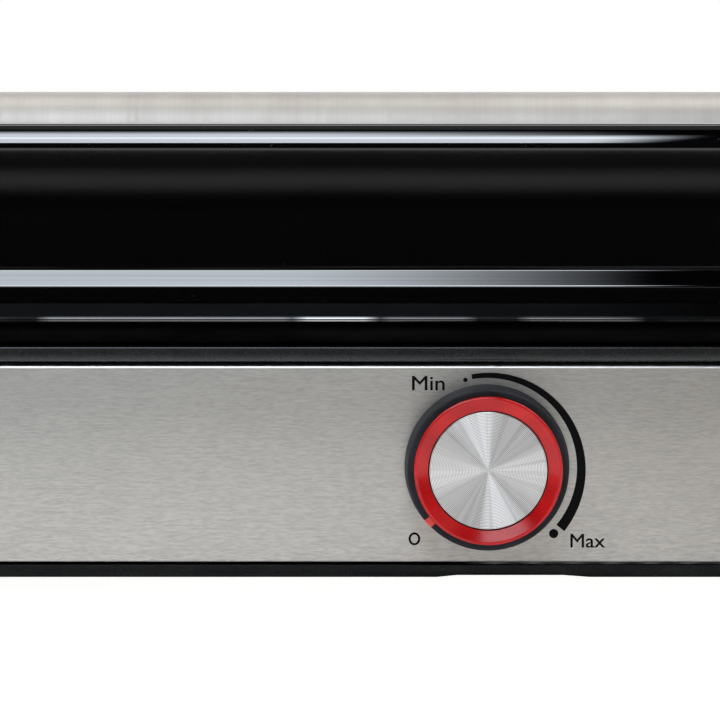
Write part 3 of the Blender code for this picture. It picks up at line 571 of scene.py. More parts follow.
def galvanised():
    """Zinc-coated sheet with its faint crystals."""
    look = Surface("galvanised", 0.45, 1.0)
    mapped = look.add("ShaderNodeMapping", {"Vector": look.place, "Scale": (150.0, 150.0, 150.0)})
    crystal = look.add("ShaderNodeTexVoronoi", {"Vector": mapped.outputs[0], "Scale": 1.0})
    tone = look.axis("X", crystal.outputs["Color"])
    stain = look.noise(50.0, 4.0)
    color = look.blend(tone, 0.0, 1.0, (0.50, 0.52, 0.53), (0.64, 0.66, 0.67))
    color = look.blend(stain, 0.5, 0.8, color, (0.40, 0.40, 0.39), 0.35)
    return look.finished(color, look.span(tone, 0.0, 1.0, 0.36, 0.52), look.bump(stain, 0.0000200))


def moulded(name, dark, light, roughness, pitch):
    """Engineering plastic, rubber or ceramic: a clouded colour over a fine moulded skin."""
    look = Surface(name, roughness, 0.0, IOR=1.5)
    skin = look.noise(pitch)
    color = look.blend(look.noise(90.0), 0.3, 0.7, dark, light)
    rough = look.vary(skin, roughness - 0.06, roughness + 0.08)
    return look.finished(color, rough, look.bump(skin, 0.0000120))


def plain_metal(name, dark, light, roughness):
    """Small turned or stamped metal parts, with fine scratches."""
    look = Surface(name, roughness, 1.0)
    scratch = look.noise((900.0, 900.0, 2600.0), 4.0, 0.65)
    color = look.blend(look.noise(160.0), 0.3, 0.7, dark, light)
    rough = look.vary(scratch, roughness - 0.08, roughness + 0.10)
    return look.finished(color, rough, look.bump(scratch, 0.0000040))


def printed_ink():
    """Matt black print, a little uneven in its cover."""
    look = Surface("printed_ink", 0.60, 0.0, IOR=1.33, Specular_IOR_Level=0.15)
    cover = look.noise(2500.0)
    color = look.blend(cover, 0.45, 0.8, (0.0015, 0.0015, 0.0019), (0.0040, 0.0040, 0.0040))
    return look.finished(color, look.vary(cover, 0.50, 0.62))


PANEL_STEEL = panel_steel()
ROLLER_STEEL = roller_steel()
GLOSS_ENAMEL = gloss_enamel()
TRAY_ENAMEL = tray_enamel()
BEAD_ENAMEL = bead_enamel()
SATIN_PAINT = satin_paint("satin_paint", 1.5, (0.0028, 0.0028, 0.0033), (0.0065, 0.0064, 0.0062))
BASE_PAINT = satin_paint("base_paint", 1.25, (0.0012, 0.0012, 0.0015), (0.0040, 0.0040, 0.0040))
COVER_PLASTIC = cover_plastic()
SKIRT_PLASTIC = skirt_plastic()
RED_GLOSS = red_gloss()
POINTER_RED = pointer_red()
SPUN_METAL = spun_metal()
GALVANISED = galvanised()
INK = printed_ink()
RUBBER = moulded("foot_rubber", (0.018, 0.018, 0.018), (0.034, 0.033, 0.032), 0.78, 1500.0)
NYLON = moulded("nylon", (0.66, 0.63, 0.56), (0.76, 0.74, 0.68), 0.42, 1200.0)
ACETAL = moulded("acetal", (0.74, 0.72, 0.66), (0.84, 0.82, 0.77), 0.34, 1600.0)
CERAMIC = moulded("ceramic", (0.74, 0.70, 0.62), (0.86, 0.83, 0.77), 0.58, 900.0)
PHENOLIC = moulded("phenolic", (0.045, 0.028, 0.020), (0.075, 0.050, 0.038), 0.46, 1400.0)
SHEATH_STEEL = plain_metal("sheath_steel", (0.30, 0.285, 0.265), (0.46, 0.44, 0.42), 0.42)
SCREW_STEEL = plain_metal("screw_steel", (0.55, 0.55, 0.54), (0.72, 0.71, 0.69), 0.30)
BLADE_METAL = plain_metal("blade_metal", (0.62, 0.58, 0.48), (0.78, 0.74, 0.64), 0.28)


def dress(piece, material, body, slot, *nodes):
    """Give a piece its material and body, and say which nodes it stands for."""
    piece.data.materials.clear()
    piece.data.materials.append(material)
    flat_faces(piece)
    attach(piece, body)
    if nodes:
        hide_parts(*nodes)
    return piece


def repaint(material, *nodes):
    """Give carried-over CAD nodes their material."""
    for name in nodes:
        node = frame["nodes"][name]
        node.data.materials.clear()
        node.data.materials.append(material)


# ---- Front and rear panels, deck, rails and tray ----

SHEET = 0.0008
BEND = 0.0010
FRONT_SHEET = 0.0004
LOWER_BEND = 0.0005
UPPER_BEND = 0.0004
PANEL_HOLE = 0.0052
VENT_HALF_LENGTH = 0.0150
VENT_HALF_WIDTH = 0.0015
REAR_VENTS = 12
REAR_VENT_START = 0.010
REAR_VENT_PITCH = 0.012
REAR_VENT_HEIGHT = 0.037


def make_front_panel():
    """Thin brushed sheet with a bent edge at the top and bottom and the knob's hole."""
    profile = filleted([(0.008, CABINET_BOTTOM, 0.0), (0.0, CABINET_BOTTOM, LOWER_BEND),
                        (0.0, PANEL_TOP, UPPER_BEND), (0.012, PANEL_TOP, 0.0)], step=6.0)
    panel = bent_sheet("front_panel_sheet", section(profile), -SPAN, SPAN, FRONT_SHEET)
    drill = [(0.0, 0.004), (PANEL_HOLE, 0.004), (PANEL_HOLE, -0.004), (0.0, -0.004)]
    panel = combine(panel, turned("hole_tool", drill, KNOB, ALONG_FRONT, 64))
    dress(panel, PANEL_STEEL, "cabinet", "stainless", "front_panel")


def slot_outline(center, half_length, half_width, upright):
    """Round-ended slot, upright or lying."""
    reach = half_length - half_width
    if upright:
        ends = ((center[0], center[1] + reach), (center[0], center[1] - reach))
        first = 0.0
    else:
        ends = ((center[0] - reach, center[1]), (center[0] + reach, center[1]))
        first = 90.0
    return (arc(ends[0], half_width, first, first + 180.0, 8)
            + arc(ends[1], half_width, first + 180.0, first + 360.0, 8))


def make_rear_panel():
    """Bent sheet with the inlet's opening and a row of upright vents."""
    low, high = box("rear_panel")
    rear = BODY_DEPTH
    profile = filleted([(rear - 0.014, high.z, 0.0), (rear, high.z, BEND), (rear, low.z, BEND),
                        (rear - 0.008, low.z, 0.0)])
    panel = bent_sheet("rear_panel_sheet", section(profile), -SPAN, SPAN, SHEET)
    center = sum(box("power_inlet"), Vector()) / 2.0
    half_width, half_height = 0.0138, 0.0103
    loops = [rectangle((center.x - half_width, center.z - half_height),
                       (center.x + half_width, center.z + half_height), 0.0012)]
    for step in range(REAR_VENTS):
        spot = (REAR_VENT_START + REAR_VENT_PITCH * step, REAR_VENT_HEIGHT)
        loops.append(slot_outline(spot, VENT_HALF_LENGTH, VENT_HALF_WIDTH, True))
    tool = extruded("rear_tool", loops, -at_depth(rear + 0.003), -at_depth(rear - 0.003), ALONG_FRONT)
    panel = combine(panel, tool)
    dress(panel, PANEL_STEEL, "cabinet", "stainless", "rear_panel")


NOSE_FACE = 0.0014
NOSE_TOP = 0.0618
NOSE_MIDDLE = 0.0599
NOSE_BOTTOM = 0.0579
HEM_BOTTOM = 0.0566


def make_deck():
    """Plate under the tray: a rounded nose over the panel, a hem behind it, a lip at the back."""
    back_lip = box("deck")[1].z
    underside, top = 0.0602, 0.0617
    nose = filleted([
        (0.0120, top, 0.0), (NOSE_FACE, NOSE_TOP, 0.0005), (NOSE_FACE - 0.00015, NOSE_MIDDLE, 0.0100),
        (NOSE_FACE, NOSE_BOTTOM, 0.0010), (0.0055, NOSE_BOTTOM, 0.0),
    ], step=5.0)
    profile = [(0.2168, top)] + nose
    profile += filleted([(0.0055, 0.0587, 0.0), (0.0055, underside, 0.0008),
                         (0.0130, underside, 0.0), (0.0130, HEM_BOTTOM, 0.0002),
                         (0.0138, HEM_BOTTOM, 0.0002), (0.0138, underside, 0.0),
                         (0.2180, underside, 0.0009), (0.2180, back_lip, 0.0),
                         (0.2168, back_lip, 0.0)])
    deck = extruded("deck_plate", [section(profile)], -SPAN, SPAN, ALONG_X)
    dress(deck, SATIN_PAINT, "cabinet", "black_paint", "deck")


RAIL_WALL = 0.0024
RAIL_CROWN = 0.0070


def make_rails():
    """Hollow enamelled rails: a foot, a chamfer, a tall face and a round crown; the rear mirrors it."""
    low, high = box("front_rail")
    front = filleted([
        (0.0115, low.z, 0.0), (0.0115, 0.0765, 0.0010), (0.0145, 0.0804, 0.0005),
        (0.0145, high.z, RAIL_CROWN), (0.0254, high.z, 0.0010), (0.0254, 0.0980, 0.0),
    ], step=5.0)
    rear = [(BODY_DEPTH - depth, height) for depth, height in reversed(front)]
    for name, profile in (("front_rail", front), ("rear_rail", rear)):
        rail = bent_sheet(name + "_moulding", section(profile), -SPAN, SPAN, RAIL_WALL)
        round_edges(rail, 0.00035, 3, 50.0)
        dress(rail, GLOSS_ENAMEL, "cabinet", "black_enamel", name)


BEAD_CENTER = (0.0028, 0.0686)
BEAD_RADIUS = 0.00075


def make_drip_tray():
    """Pan with rolled inner corners and a sloping lip whose edge is a thin bead."""
    low, high = box("drip_tray")
    half = high.x
    front_wall, back_wall, wall = 0.0100, 0.2160, 0.0012
    outline = filleted([
        (front_wall, low.z, 0.0009), (back_wall, low.z, 0.0009), (back_wall, 0.0715, 0.0004),
        (0.0128, 0.0715, 0.0), (0.0116, high.z, 0.0), (0.0110, high.z, 0.0),
    ], closed=True)
    outline += arc(BEAD_CENTER, BEAD_RADIUS - 0.0001, 108.0, 288.0, 16)
    outline += [(front_wall, 0.0704)]
    tray = extruded("drip_tray_pan", [section(outline)], -half, half, ALONG_X)
    tool = block("tray_tool", (-half + wall, at_depth(front_wall + 0.0015), low.z + wall),
                 (half - wall, at_depth(back_wall - wall), high.z + 0.010))
    round_edges(tool, 0.0022, 4)
    tray = combine(tray, tool)
    dress(tray, TRAY_ENAMEL, "tray", "black_enamel", "drip_tray")
    edge = section(circle(BEAD_CENTER, BEAD_RADIUS, 40))
    dress(extruded("drip_tray_bead", [edge], -half, half, ALONG_X), BEAD_ENAMEL, "tray", "black_enamel")


# ---- Base and feet ----

FOOT_SPOTS = {"foot_front_left": (-1, 0.025), "foot_front_right": (1, 0.025),
              "foot_rear_left": (-1, 0.206), "foot_rear_right": (1, 0.206)}
FOOT_X = 0.200
FOOT_HOLE = 0.0034
BASE_VENT_ROWS = (0.080, 0.150)
BASE_VENT_PITCH = 0.016


def make_base_pan():
    """Shallow moulded pan with two rows of vents, the feet's holes and a relief under the knob."""
    corner, rim_wall, floor_top = 0.010, 0.0020, 0.0055
    bottom, top = BASE_LOW.z, BASE_HIGH.z - 0.0004
    outline = rectangle(BASE_LOW.xy, BASE_HIGH.xy, corner)
    pan = extruded("base_pan_shell", [outline], bottom, top, ALONG_Z)
    round_edges(pan, 0.0007, 5, 50.0)
    inset = Vector((rim_wall, rim_wall))
    pocket = extruded("pocket_tool", [rectangle(BASE_LOW.xy + inset, BASE_HIGH.xy - inset,
                                                corner - rim_wall)], floor_top, top + 0.002, ALONG_Z)
    pan = combine(pan, pocket)
    loops = []
    for row_depth in BASE_VENT_ROWS:
        for step in range(-4, 5):
            spot = (BASE_VENT_PITCH * step, at_depth(row_depth))
            loops.append(slot_outline(spot, VENT_HALF_LENGTH, VENT_HALF_WIDTH, True))
    for side, depth in FOOT_SPOTS.values():
        loops.append(circle((side * FOOT_X, at_depth(depth)), FOOT_HOLE, 24))
    pan = combine(pan, extruded("slots_tool", loops, bottom - 0.001, floor_top + 0.001, ALONG_Z))
    # A shallow relief raises the rim's lower edge under the knob, with a ramp at each end.
    relief = [
        (KNOB.x - 0.0125, bottom - 0.001), (KNOB.x + 0.0260, bottom - 0.001),
        (KNOB.x + 0.0260, bottom), (KNOB.x + 0.0193, bottom + 0.0005),
        (KNOB.x - 0.0075, bottom + 0.0005), (KNOB.x - 0.0125, bottom),
    ]
    pan = combine(pan, extruded("relief_tool", [relief], -at_depth(0.012), -at_depth(-0.002),
                                ALONG_FRONT))
    dress(pan, BASE_PAINT, "cabinet", "black_paint", "base_pan")


def make_feet():
    """Rubber feet: a stem through the pan, a tapered body and a dished sole."""
    profile = filleted([
        (0.0, 0.0070, 0.0), (0.0030, 0.0070, 0.0006), (0.0030, 0.0037, 0.0), (0.0075, 0.0037, 0.0003),
        (0.0090, 0.0009, 0.0004), (0.0084, 0.0, 0.0004), (0.0050, 0.0, 0.0002),
        (0.0046, 0.0006, 0.0002), (0.0, 0.0006, 0.0),
    ])
    for name, (side, depth) in FOOT_SPOTS.items():
        foot = turned(name + "_rubber", profile, (side * FOOT_X, at_depth(depth), 0.0), ALONG_Z, 64)
        dress(foot, RUBBER, "cabinet", "rubber", name)


# ---- End towers ----

PLATE_HOLE = 0.0150
PLATE_FOOT_CORNER, PLATE_TOP_CORNER = 0.002, 0.026
COVER_VENTS = 7
COVER_VENT_DEPTH = 0.1155
COVER_VENT_START = 0.026
COVER_VENT_PITCH = 0.008
COVER_VENT_HALF_LENGTH = 0.0305


def make_inner_plates():
    """Zinc-coated plates with a hole for each roller's bushes."""
    for _, tower in SIDES:
        node = tower + "_inner_plate"
        low, high = box(node)
        outline = filleted([
            (low.y, low.z, PLATE_FOOT_CORNER), (high.y, low.z, PLATE_FOOT_CORNER),
            (high.y, high.z, PLATE_TOP_CORNER), (low.y, high.z, PLATE_TOP_CORNER),
        ], closed=True)
        loops = [outline] + [circle((axis.y, axis.z), PLATE_HOLE, 64) for axis in ROLLER_AXES]
        plate = extruded(node + "_sheet", loops, low.x, high.x, ALONG_X)
        round_edges(plate, 0.0002, 2, 50.0)
        dress(plate, GALVANISED, "cabinet", "galvanised", node)


def cover_ring(work, side, x, low, high, inset, bottom_radius, top_radius):
    """One ring of a cover's shell: its side outline at this X, drawn in by the inset."""
    outline = filleted([
        (low.y + inset, low.z + inset, bottom_radius), (high.y - inset, low.z + inset, bottom_radius),
        (high.y - inset, high.z - inset, top_radius), (low.y + inset, high.z - inset, top_radius),
    ], closed=True, step=6.0)
    return [work.verts.new((side * x, y, z)) for y, z in outline]


def make_end_covers():
    """Moulded shells with a rounded outer edge all round and a field of slots."""
    wall, edge, steps = 0.0025, 0.0060, 10
    for side, tower in SIDES:
        node = tower + "_end_cover"
        low, high = box(node)
        inner, outer = sorted((abs(low.x), abs(high.x)))
        stations = [(inner, 0.0)]
        for step in range(steps + 1):
            angle = math.radians(90.0 * step / steps)
            stations.append((outer - edge * (1.0 - math.sin(angle)), edge * (1.0 - math.cos(angle))))
        work = bmesh.new()
        rings = []
        for x, inset in stations:
            rings.append(cover_ring(work, side, x, low, high, inset,
                                    max(0.005 - inset, wall + GAP), 0.028 - inset))
        for ring, following in zip(rings, rings[1:]):
            for index, corner in enumerate(ring):
                after = (index + 1) % len(ring)
                work.faces.new((corner, ring[after], following[after], following[index]))
        cap = work.faces.new(rings[-1])
        bmesh.ops.recalc_face_normals(work, faces=work.faces)
        cap.normal_update()
        if cap.normal.x * side < 0.0:
            bmesh.ops.reverse_faces(work, faces=work.faces)
        shell = thickened(built(node + "_shell", work), wall)
        loops = []
        for step in range(COVER_VENTS):
            spot = (at_depth(COVER_VENT_DEPTH), COVER_VENT_START + COVER_VENT_PITCH * step)
            loops.append(slot_outline(spot, COVER_VENT_HALF_LENGTH, VENT_HALF_WIDTH, False))
        start, end = sorted((side * (outer - 0.004), side * (outer + 0.002)))
        shell = combine(shell, extruded("vent_tool", loops, start, end, ALONG_X))
        dress(shell, COVER_PLASTIC, "cabinet", "black_plastic", node)


def make_bushes():
    """Nylon bushes: a sleeve in each plate's hole, with its flange towards the rollers."""
    bore, sleeve, flange = 0.01275, 0.0147, 0.0170
    for side, tower in SIDES:
        for index, axis in zip(ROLLERS, ROLLER_AXES):
            node = f"bush_{tower}_{index}"
            low, high = box(node)
            inner, outer = sorted((abs(low.x), abs(high.x)))
            corners = [
                (flange, inner + 0.0020, 0.0003), (flange, inner, 0.0006), (bore, inner, 0.0003),
                (bore, outer, 0.0002), (sleeve, outer, 0.0004), (sleeve, inner + 0.0020, 0.0),
            ]
            if side < 0:
                corners = [(radius, -x, fillet) for radius, x, fillet in reversed(corners)]
            bush = turned(node + "_turned", filleted(corners, closed=True, step=20.0),
                          (0.0, axis.y, axis.z), ALONG_X, 72)
            dress(bush, NYLON, "cabinet", "nylon", node)


# ---- Rollers ----

ROLLER_WALL = 0.0012


def make_rollers():
    """Plain tubes with softened ends."""
    low, high = box("roller_1")
    radius = (high.z - low.z) / 2.0
    inner = radius - ROLLER_WALL
    profile = filleted([
        (radius, high.x, 0.0005), (radius, low.x, 0.0005), (inner, low.x, 0.0003),
        (inner, high.x, 0.0003),
    ], closed=True, step=20.0)
    for index, axis in zip(ROLLERS, ROLLER_AXES):
        tube = turned(f"roller_{index}_tube", profile, (0.0, axis.y, axis.z), ALONG_X, 128)
        dress(tube, ROLLER_STEEL, f"roller_{index}", "roller_steel", f"roller_{index}")


# ---- Knob and its printed scale ----

SKIRT_RADIUS = 0.0206
SKIRT_FACE_RADIUS = 0.0200
SKIRT_FACE = 0.0118
SKIRT_FOOT = 0.0008
HUB_RADIUS = 0.0062
HUB_FOOT = 0.0055
SHAFT_BORE = 0.0033
RING_OUTER = 0.0184
RING_INNER = 0.0149
RING_LOW = 0.0129
CAP_RADIUS = 0.0146
CAP_FRONT = 0.0127
KNOB_PROUD = Y_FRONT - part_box("knob_ring")[0][1]
POINTER_ANGLE = 228.3
POINTER_WIDTH = 0.0023
SCALE_CENTER = KNOB - Vector((0.0, 0.0, 0.0005))


def clock(angle, radius, center=SCALE_CENTER):
    """(x, z) of a place round the center, at an angle clockwise from the top."""
    turn = math.radians(90.0 - angle)
    return center.x + radius * math.cos(turn), center.z + radius * math.sin(turn)


def knob_part(name, profile, material, slot, node):
    dress(turned(name, profile, KNOB, ALONG_FRONT, 160), material, "knob", slot, node)


def make_knob():
    """Tapered skirt, the coloured ring that stands on its face, and the metal cap inside the ring."""
    inner_face = SKIRT_FACE - 0.0020
    skirt = filleted([
        (0.0, SKIRT_FACE, 0.0), (SKIRT_FACE_RADIUS, SKIRT_FACE, 0.0006),
        (SKIRT_RADIUS, SKIRT_FOOT + 0.0012, 0.0008), (SKIRT_RADIUS, SKIRT_FOOT, 0.0002),
        (SKIRT_RADIUS - 0.0018, SKIRT_FOOT, 0.0), (SKIRT_FACE_RADIUS - 0.0020, inner_face, 0.0006),
        (HUB_RADIUS, inner_face, 0.0006), (HUB_RADIUS, HUB_FOOT, 0.0), (SHAFT_BORE, HUB_FOOT, 0.0),
        (SHAFT_BORE, inner_face, 0.0), (0.0, inner_face, 0.0),
    ])
    knob_part("knob_skirt_moulding", skirt, SKIRT_PLASTIC, "knob_black", "knob_skirt")

    back = SKIRT_FACE + GAP
    ring = filleted([
        (RING_OUTER, back, 0.0), (RING_INNER, back, 0.0), (RING_INNER, RING_LOW, 0.0002),
        (RING_OUTER, KNOB_PROUD, 0.0006),
    ], closed=True)
    knob_part("knob_ring_moulding", ring, RED_GLOSS, "red_plastic", "knob_ring")

    cap = filleted([
        (0.0, CAP_FRONT, 0.0), (CAP_RADIUS, CAP_FRONT, 0.0002), (CAP_RADIUS, back, 0.0),
        (0.0, back, 0.0),
    ])
    knob_part("knob_cap_turned", cap, SPUN_METAL, "spun_aluminium", "knob_cap")


def make_pointer():
    """Coloured tick from the ring's side, across the skirt's face and down to its foot."""
    proud = 0.00006
    stations = [
        (RING_OUTER + 0.00002, SKIRT_FACE + 0.0020), (RING_OUTER + 0.0001, SKIRT_FACE),
        (SKIRT_FACE_RADIUS - 0.0004, SKIRT_FACE),
        (SKIRT_FACE_RADIUS - 0.00002, SKIRT_FACE - 0.0004),
        (SKIRT_RADIUS, SKIRT_FOOT + 0.0013), (SKIRT_RADIUS, SKIRT_FOOT + 0.0002),
    ]
    steps = 8
    work = bmesh.new()
    rows = []
    for radius, height in stations:
        row = []
        for step in range(steps + 1):
            aside = POINTER_WIDTH * (step / steps - 0.5)
            angle = POINTER_ANGLE + math.degrees(aside / radius)
            x, z = clock(angle, radius + proud / 2.0, KNOB)
            row.append(work.verts.new((x, Y_FRONT - height - proud / 2.0, z)))
        rows.append(row)
    for row, following in zip(rows, rows[1:]):
        for index in range(steps):
            work.faces.new((row[index], row[index + 1], following[index + 1], following[index]))
    pointer = thickened(built("knob_pointer", work), proud * 2.0, 0.0)
    dress(shade(pointer), POINTER_RED, "knob", "red_plastic")


INK_THICKNESS = 0.00003


def printed(name, loops):
    """A flat mark printed on the front panel."""
    front = -Y_FRONT
    piece = extruded(name, loops, front, front + INK_THICKNESS, ALONG_FRONT)
    dress(piece, INK, "cabinet", "knob_black")


def printed_word(name, word, left, baseline, width, cap_height):
    """A dial word as a thin print, fitted to its width and the height of its capital."""
    text = bpy.data.curves.new(name, "FONT")
    text.body = word
    text.extrude = 0.01
    text.bevel_depth = 0.010
    text.bevel_resolution = 1
    text.resolution_u = 5
    mesh = evaluated_mesh(placed(name, text))
    low = [min(vertex.co[axis] for vertex in mesh.vertices) for axis in range(3)]
    high = [max(vertex.co[axis] for vertex in mesh.vertices) for axis in range(3)]
    scales = [size / (top - bottom)
              for size, bottom, top in zip((width, cap_height, INK_THICKNESS), low, high)]
    mesh.transform(ALONG_FRONT @ Matrix.Translation((left, baseline, -Y_FRONT))
                   @ Matrix.Diagonal((*scales, 1.0))
                   @ Matrix.Translation([-bottom for bottom in low]))
    dress(placed(name, mesh), INK, "cabinet", "knob_black")


def ellipse(center, half_width, half_height, segments=60):
    points = []
    for step in range(segments):
        angle = 2.0 * math.pi * step / segments
        points.append((center[0] + half_width * math.cos(angle),
                       center[1] + half_height * math.sin(angle)))
    return points


# The printed arc: its ends as angles clockwise from the top, its inner radius, its width where it
# starts and how much it widens, and the number of straight pieces that it is drawn with.
ARC_START, ARC_END = 350.6, 489.3
ARC_RADIUS = 0.0226
ARC_WIDTH, ARC_GROWTH = 0.00124, 0.00134
ARC_STEPS = 64
# Marks round the knob: the angle and radius of their middle.
LOW_DOT, HIGH_DOT, OFF_MARK = (346.3, 0.02275), (134.5, 0.02358), (225.4, 0.02542)


def make_scale():
    """Printed heat scale: two words, two dots, an arc that widens clockwise and an off mark."""
    outer_edge, inner_edge = [], []
    for step in range(ARC_STEPS + 1):
        share = step / ARC_STEPS
        angle = ARC_START + (ARC_END - ARC_START) * share
        outer_edge.append(clock(angle, ARC_RADIUS + ARC_WIDTH + ARC_GROWTH * share))
        inner_edge.append(clock(angle, ARC_RADIUS))
    printed("scale_arc", [outer_edge + inner_edge[::-1]])
    printed("scale_low_dot", [circle(clock(*LOW_DOT), 0.00055, 32)])
    printed("scale_high_dot", [circle(clock(*HIGH_DOT), 0.00116, 48)])
    middle = clock(*OFF_MARK)
    printed("scale_off_mark", [ellipse(middle, 0.00148, 0.00164), ellipse(middle, 0.00090, 0.00108)])
    printed_word("scale_low_word", "Min", SCALE_CENTER.x - 0.01875,
                 SCALE_CENTER.z + 0.0195, 0.0082, 0.0036)
    printed_word("scale_high_word", "Max", SCALE_CENTER.x + 0.0210,
                 SCALE_CENTER.z - 0.0201, 0.0088, 0.0035)


# ---- Inlet, screws and the pieces inside ----

INLET_HALF_WIDTH, INLET_HALF_HEIGHT = 0.0135, 0.0100
MOUTH_HALF_WIDTH, MOUTH_HALF_HEIGHT = 0.0120, 0.0085
MOUTH_CHAMFER = 0.0042


def make_inlet():
    """Mains inlet: a flanged shell, its mouth with two cut corners, and three blades inside."""
    low, high = box("power_inlet")
    center = (low + high) / 2.0
    rear = at_depth(BODY_DEPTH)
    shell = block("inlet_shell", (center.x - INLET_HALF_WIDTH, low.y, center.z - INLET_HALF_HEIGHT),
                  (center.x + INLET_HALF_WIDTH, rear + 0.0010, center.z + INLET_HALF_HEIGHT))
    flange = extruded("flange", [rectangle((low.x, low.z), (high.x, high.z), 0.0025)],
                      -high.y, -(rear + GAP), ALONG_FRONT)
    shell = combine(shell, round_edges(flange, 0.0004, 2, 50.0), "UNION")
    left, right = center.x - MOUTH_HALF_WIDTH, center.x + MOUTH_HALF_WIDTH
    bottom, top = center.z - MOUTH_HALF_HEIGHT, center.z + MOUTH_HALF_HEIGHT
    mouth = filleted([
        (left, bottom, 0.0010), (right, bottom, 0.0010), (right, top - MOUTH_CHAMFER, 0.0006),
        (right - MOUTH_CHAMFER, top, 0.0006), (left + MOUTH_CHAMFER, top, 0.0006),
        (left, top - MOUTH_CHAMFER, 0.0006),
    ], closed=True)
    floor = rear - 0.016
    shell = combine(shell, extruded("mouth_tool", [mouth], -(rear + 0.004), -floor, ALONG_FRONT))
    dress(shell, COVER_PLASTIC, "cabinet", "black_plastic", "power_inlet")
    blades = []
    for x_offset, z_offset in ((-0.007, -0.002), (0.0, 0.002), (0.007, -0.002)):
        x, z = center.x + x_offset, center.z + z_offset
        blade = block("blade", (x - 0.0010, floor - 0.002, z - 0.0020),
                      (x + 0.0010, rear - 0.006, z + 0.0020))
        blades.append(round_edges(blade, 0.0003, 2))
    dress(merged("inlet_blades", blades), BLADE_METAL, "cabinet", "heater_steel")


def screw(spot, turn, radius, spin):
    """Pan-head screw with a cross recess, its head standing on the surface at the spot."""
    height = radius * 0.62
    profile = filleted([(0.0, height, 0.0), (radius * 0.72, height * 0.92, radius * 0.25),
                        (radius, height * 0.25, radius * 0.12), (radius, 0.0, 0.0), (0.0, 0.0, 0.0)],
                       step=15.0)
    head = turned("head", profile, spot, turn, 32)
    place = Matrix.Translation(spot) @ turn @ Matrix.Rotation(spin, 4, "Z")
    for quarter in (0.0, math.pi / 2.0):
        arm = block("arm", (-radius * 0.62, -radius * 0.11, height * 0.35),
                    (radius * 0.62, radius * 0.11, height * 1.5))
        arm.data.transform(place @ Matrix.Rotation(quarter, 4, "Z"))
        head = combine(head, arm)
    return head


def screw_group(name, spots, turn, radius):
    heads = [screw(spot, turn, radius, random.random()) for spot in spots]
    dress(merged(name, heads), SCREW_STEEL, "cabinet", "heater_steel")


def make_screws():
    """Screw heads, each turned by chance: under the base, and down both sides of the rear panel."""
    random.seed(5)
    under = [(x, at_depth(depth), BASE_LOW.z) for x in (-0.172, 0.0, 0.172) for depth in (0.050, 0.190)]
    under += [(x, at_depth(depth), BASE_LOW.z) for x in (-0.216, 0.216) for depth in (0.075, 0.156)]
    screw_group("base_screws", under, Matrix.Rotation(math.pi, 4, "X"), 0.0026)
    behind = [(x, at_depth(BODY_DEPTH), z) for x in (-0.176, 0.176) for z in (0.016, 0.064)]
    screw_group("rear_screws", behind, Matrix.Rotation(-math.pi / 2.0, 4, "X"), 0.0024)


def repaint_hidden_pieces():
    """Materials of the CAD nodes whose own shape is kept."""
    gears = [f"roller_gear_{index}" for index in ROLLERS]
    gears += [f"idler_gear_{index}" for index in range(1, 5)]
    repaint(ACETAL, *gears, "motor_pinion")
    repaint(SHEATH_STEEL, *[f"heater_{index}" for index in ROLLERS])
    repaint(SCREW_STEEL, "thermostat_shaft", "thermostat_nut")
    repaint(GALVANISED, "left_heater_bracket", "right_heater_bracket", "idler_carrier",
            "motor_body", "thermostat_body")
    repaint(PHENOLIC, "terminal_block")
    repaint(CERAMIC, "thermal_cutout")


# ---- Camera, lights and floor ----

# Where the camera stands and what it aims at, in metres; its sensor and lens are in millimetres.
CAMERA_DISTANCE = 1.0
CAMERA_HEIGHT = 0.1255
CAMERA_X = KNOB.x - 0.03175
AIM_HEIGHT = 0.0586
SENSOR = 36.0
LENS = 200.4


def make_camera():
    """Long lens looking slightly down at the front, left of the knob."""
    camera = bpy.data.cameras.new("camera")
    camera.lens = LENS
    camera.sensor_width = SENSOR
    camera.clip_start = 0.05
    camera.clip_end = 50.0
    holder = placed("camera", camera)
    spot = Vector((CAMERA_X, Y_FRONT - CAMERA_DISTANCE, CAMERA_HEIGHT))
    aim = Vector((CAMERA_X, Y_FRONT, AIM_HEIGHT))
    holder.location = spot
    holder.rotation_euler = (aim - spot).to_track_quat("-Z", "Y").to_euler()
    bpy.context.scene.camera = holder


def stage_piece(name, corners):
    """One flat face that is part of the studio; the corners go round its edge."""
    mesh = bpy.data.meshes.new(name)
    mesh.from_pydata(corners, [], [(0, 1, 2, 3)])
    piece = placed(name, mesh)
    return piece


def card(name, corners, radiance, color=WHITE):
    """A glowing card, seen in reflections but not by the camera."""
    piece = stage_piece(name, corners)
    material = bpy.data.materials.new(name)
    material.use_nodes = True
    tree = material.node_tree
    tree.nodes.clear()
    glow = add_node(tree, "ShaderNodeEmission", {"Color": (*color, 1.0), "Strength": radiance})
    add_node(tree, "ShaderNodeOutputMaterial", {"Surface": glow.outputs[0]})
    piece.data.materials.append(material)
    piece.visible_camera = False
    piece.visible_shadow = False
    return piece


def wide_card(name, x_range, near, far, radiance, color=WHITE):
    """A card that spans x_range, between two (y, z) edges."""
    (x0, x1), (y0, z0), (y1, z1) = x_range, near, far
    return card(name, [(x0, y0, z0), (x1, y0, z0), (x1, y1, z1), (x0, y1, z1)], radiance, color)


def side_card(name, y_range, low, high, radiance):
    """A card that spans y_range, between two (x, z) edges."""
    (y0, y1), (x0, z0), (x1, z1) = y_range, low, high
    return card(name, [(x0, y0, z0), (x0, y1, z0), (x1, y1, z1), (x1, y0, z1)], radiance)


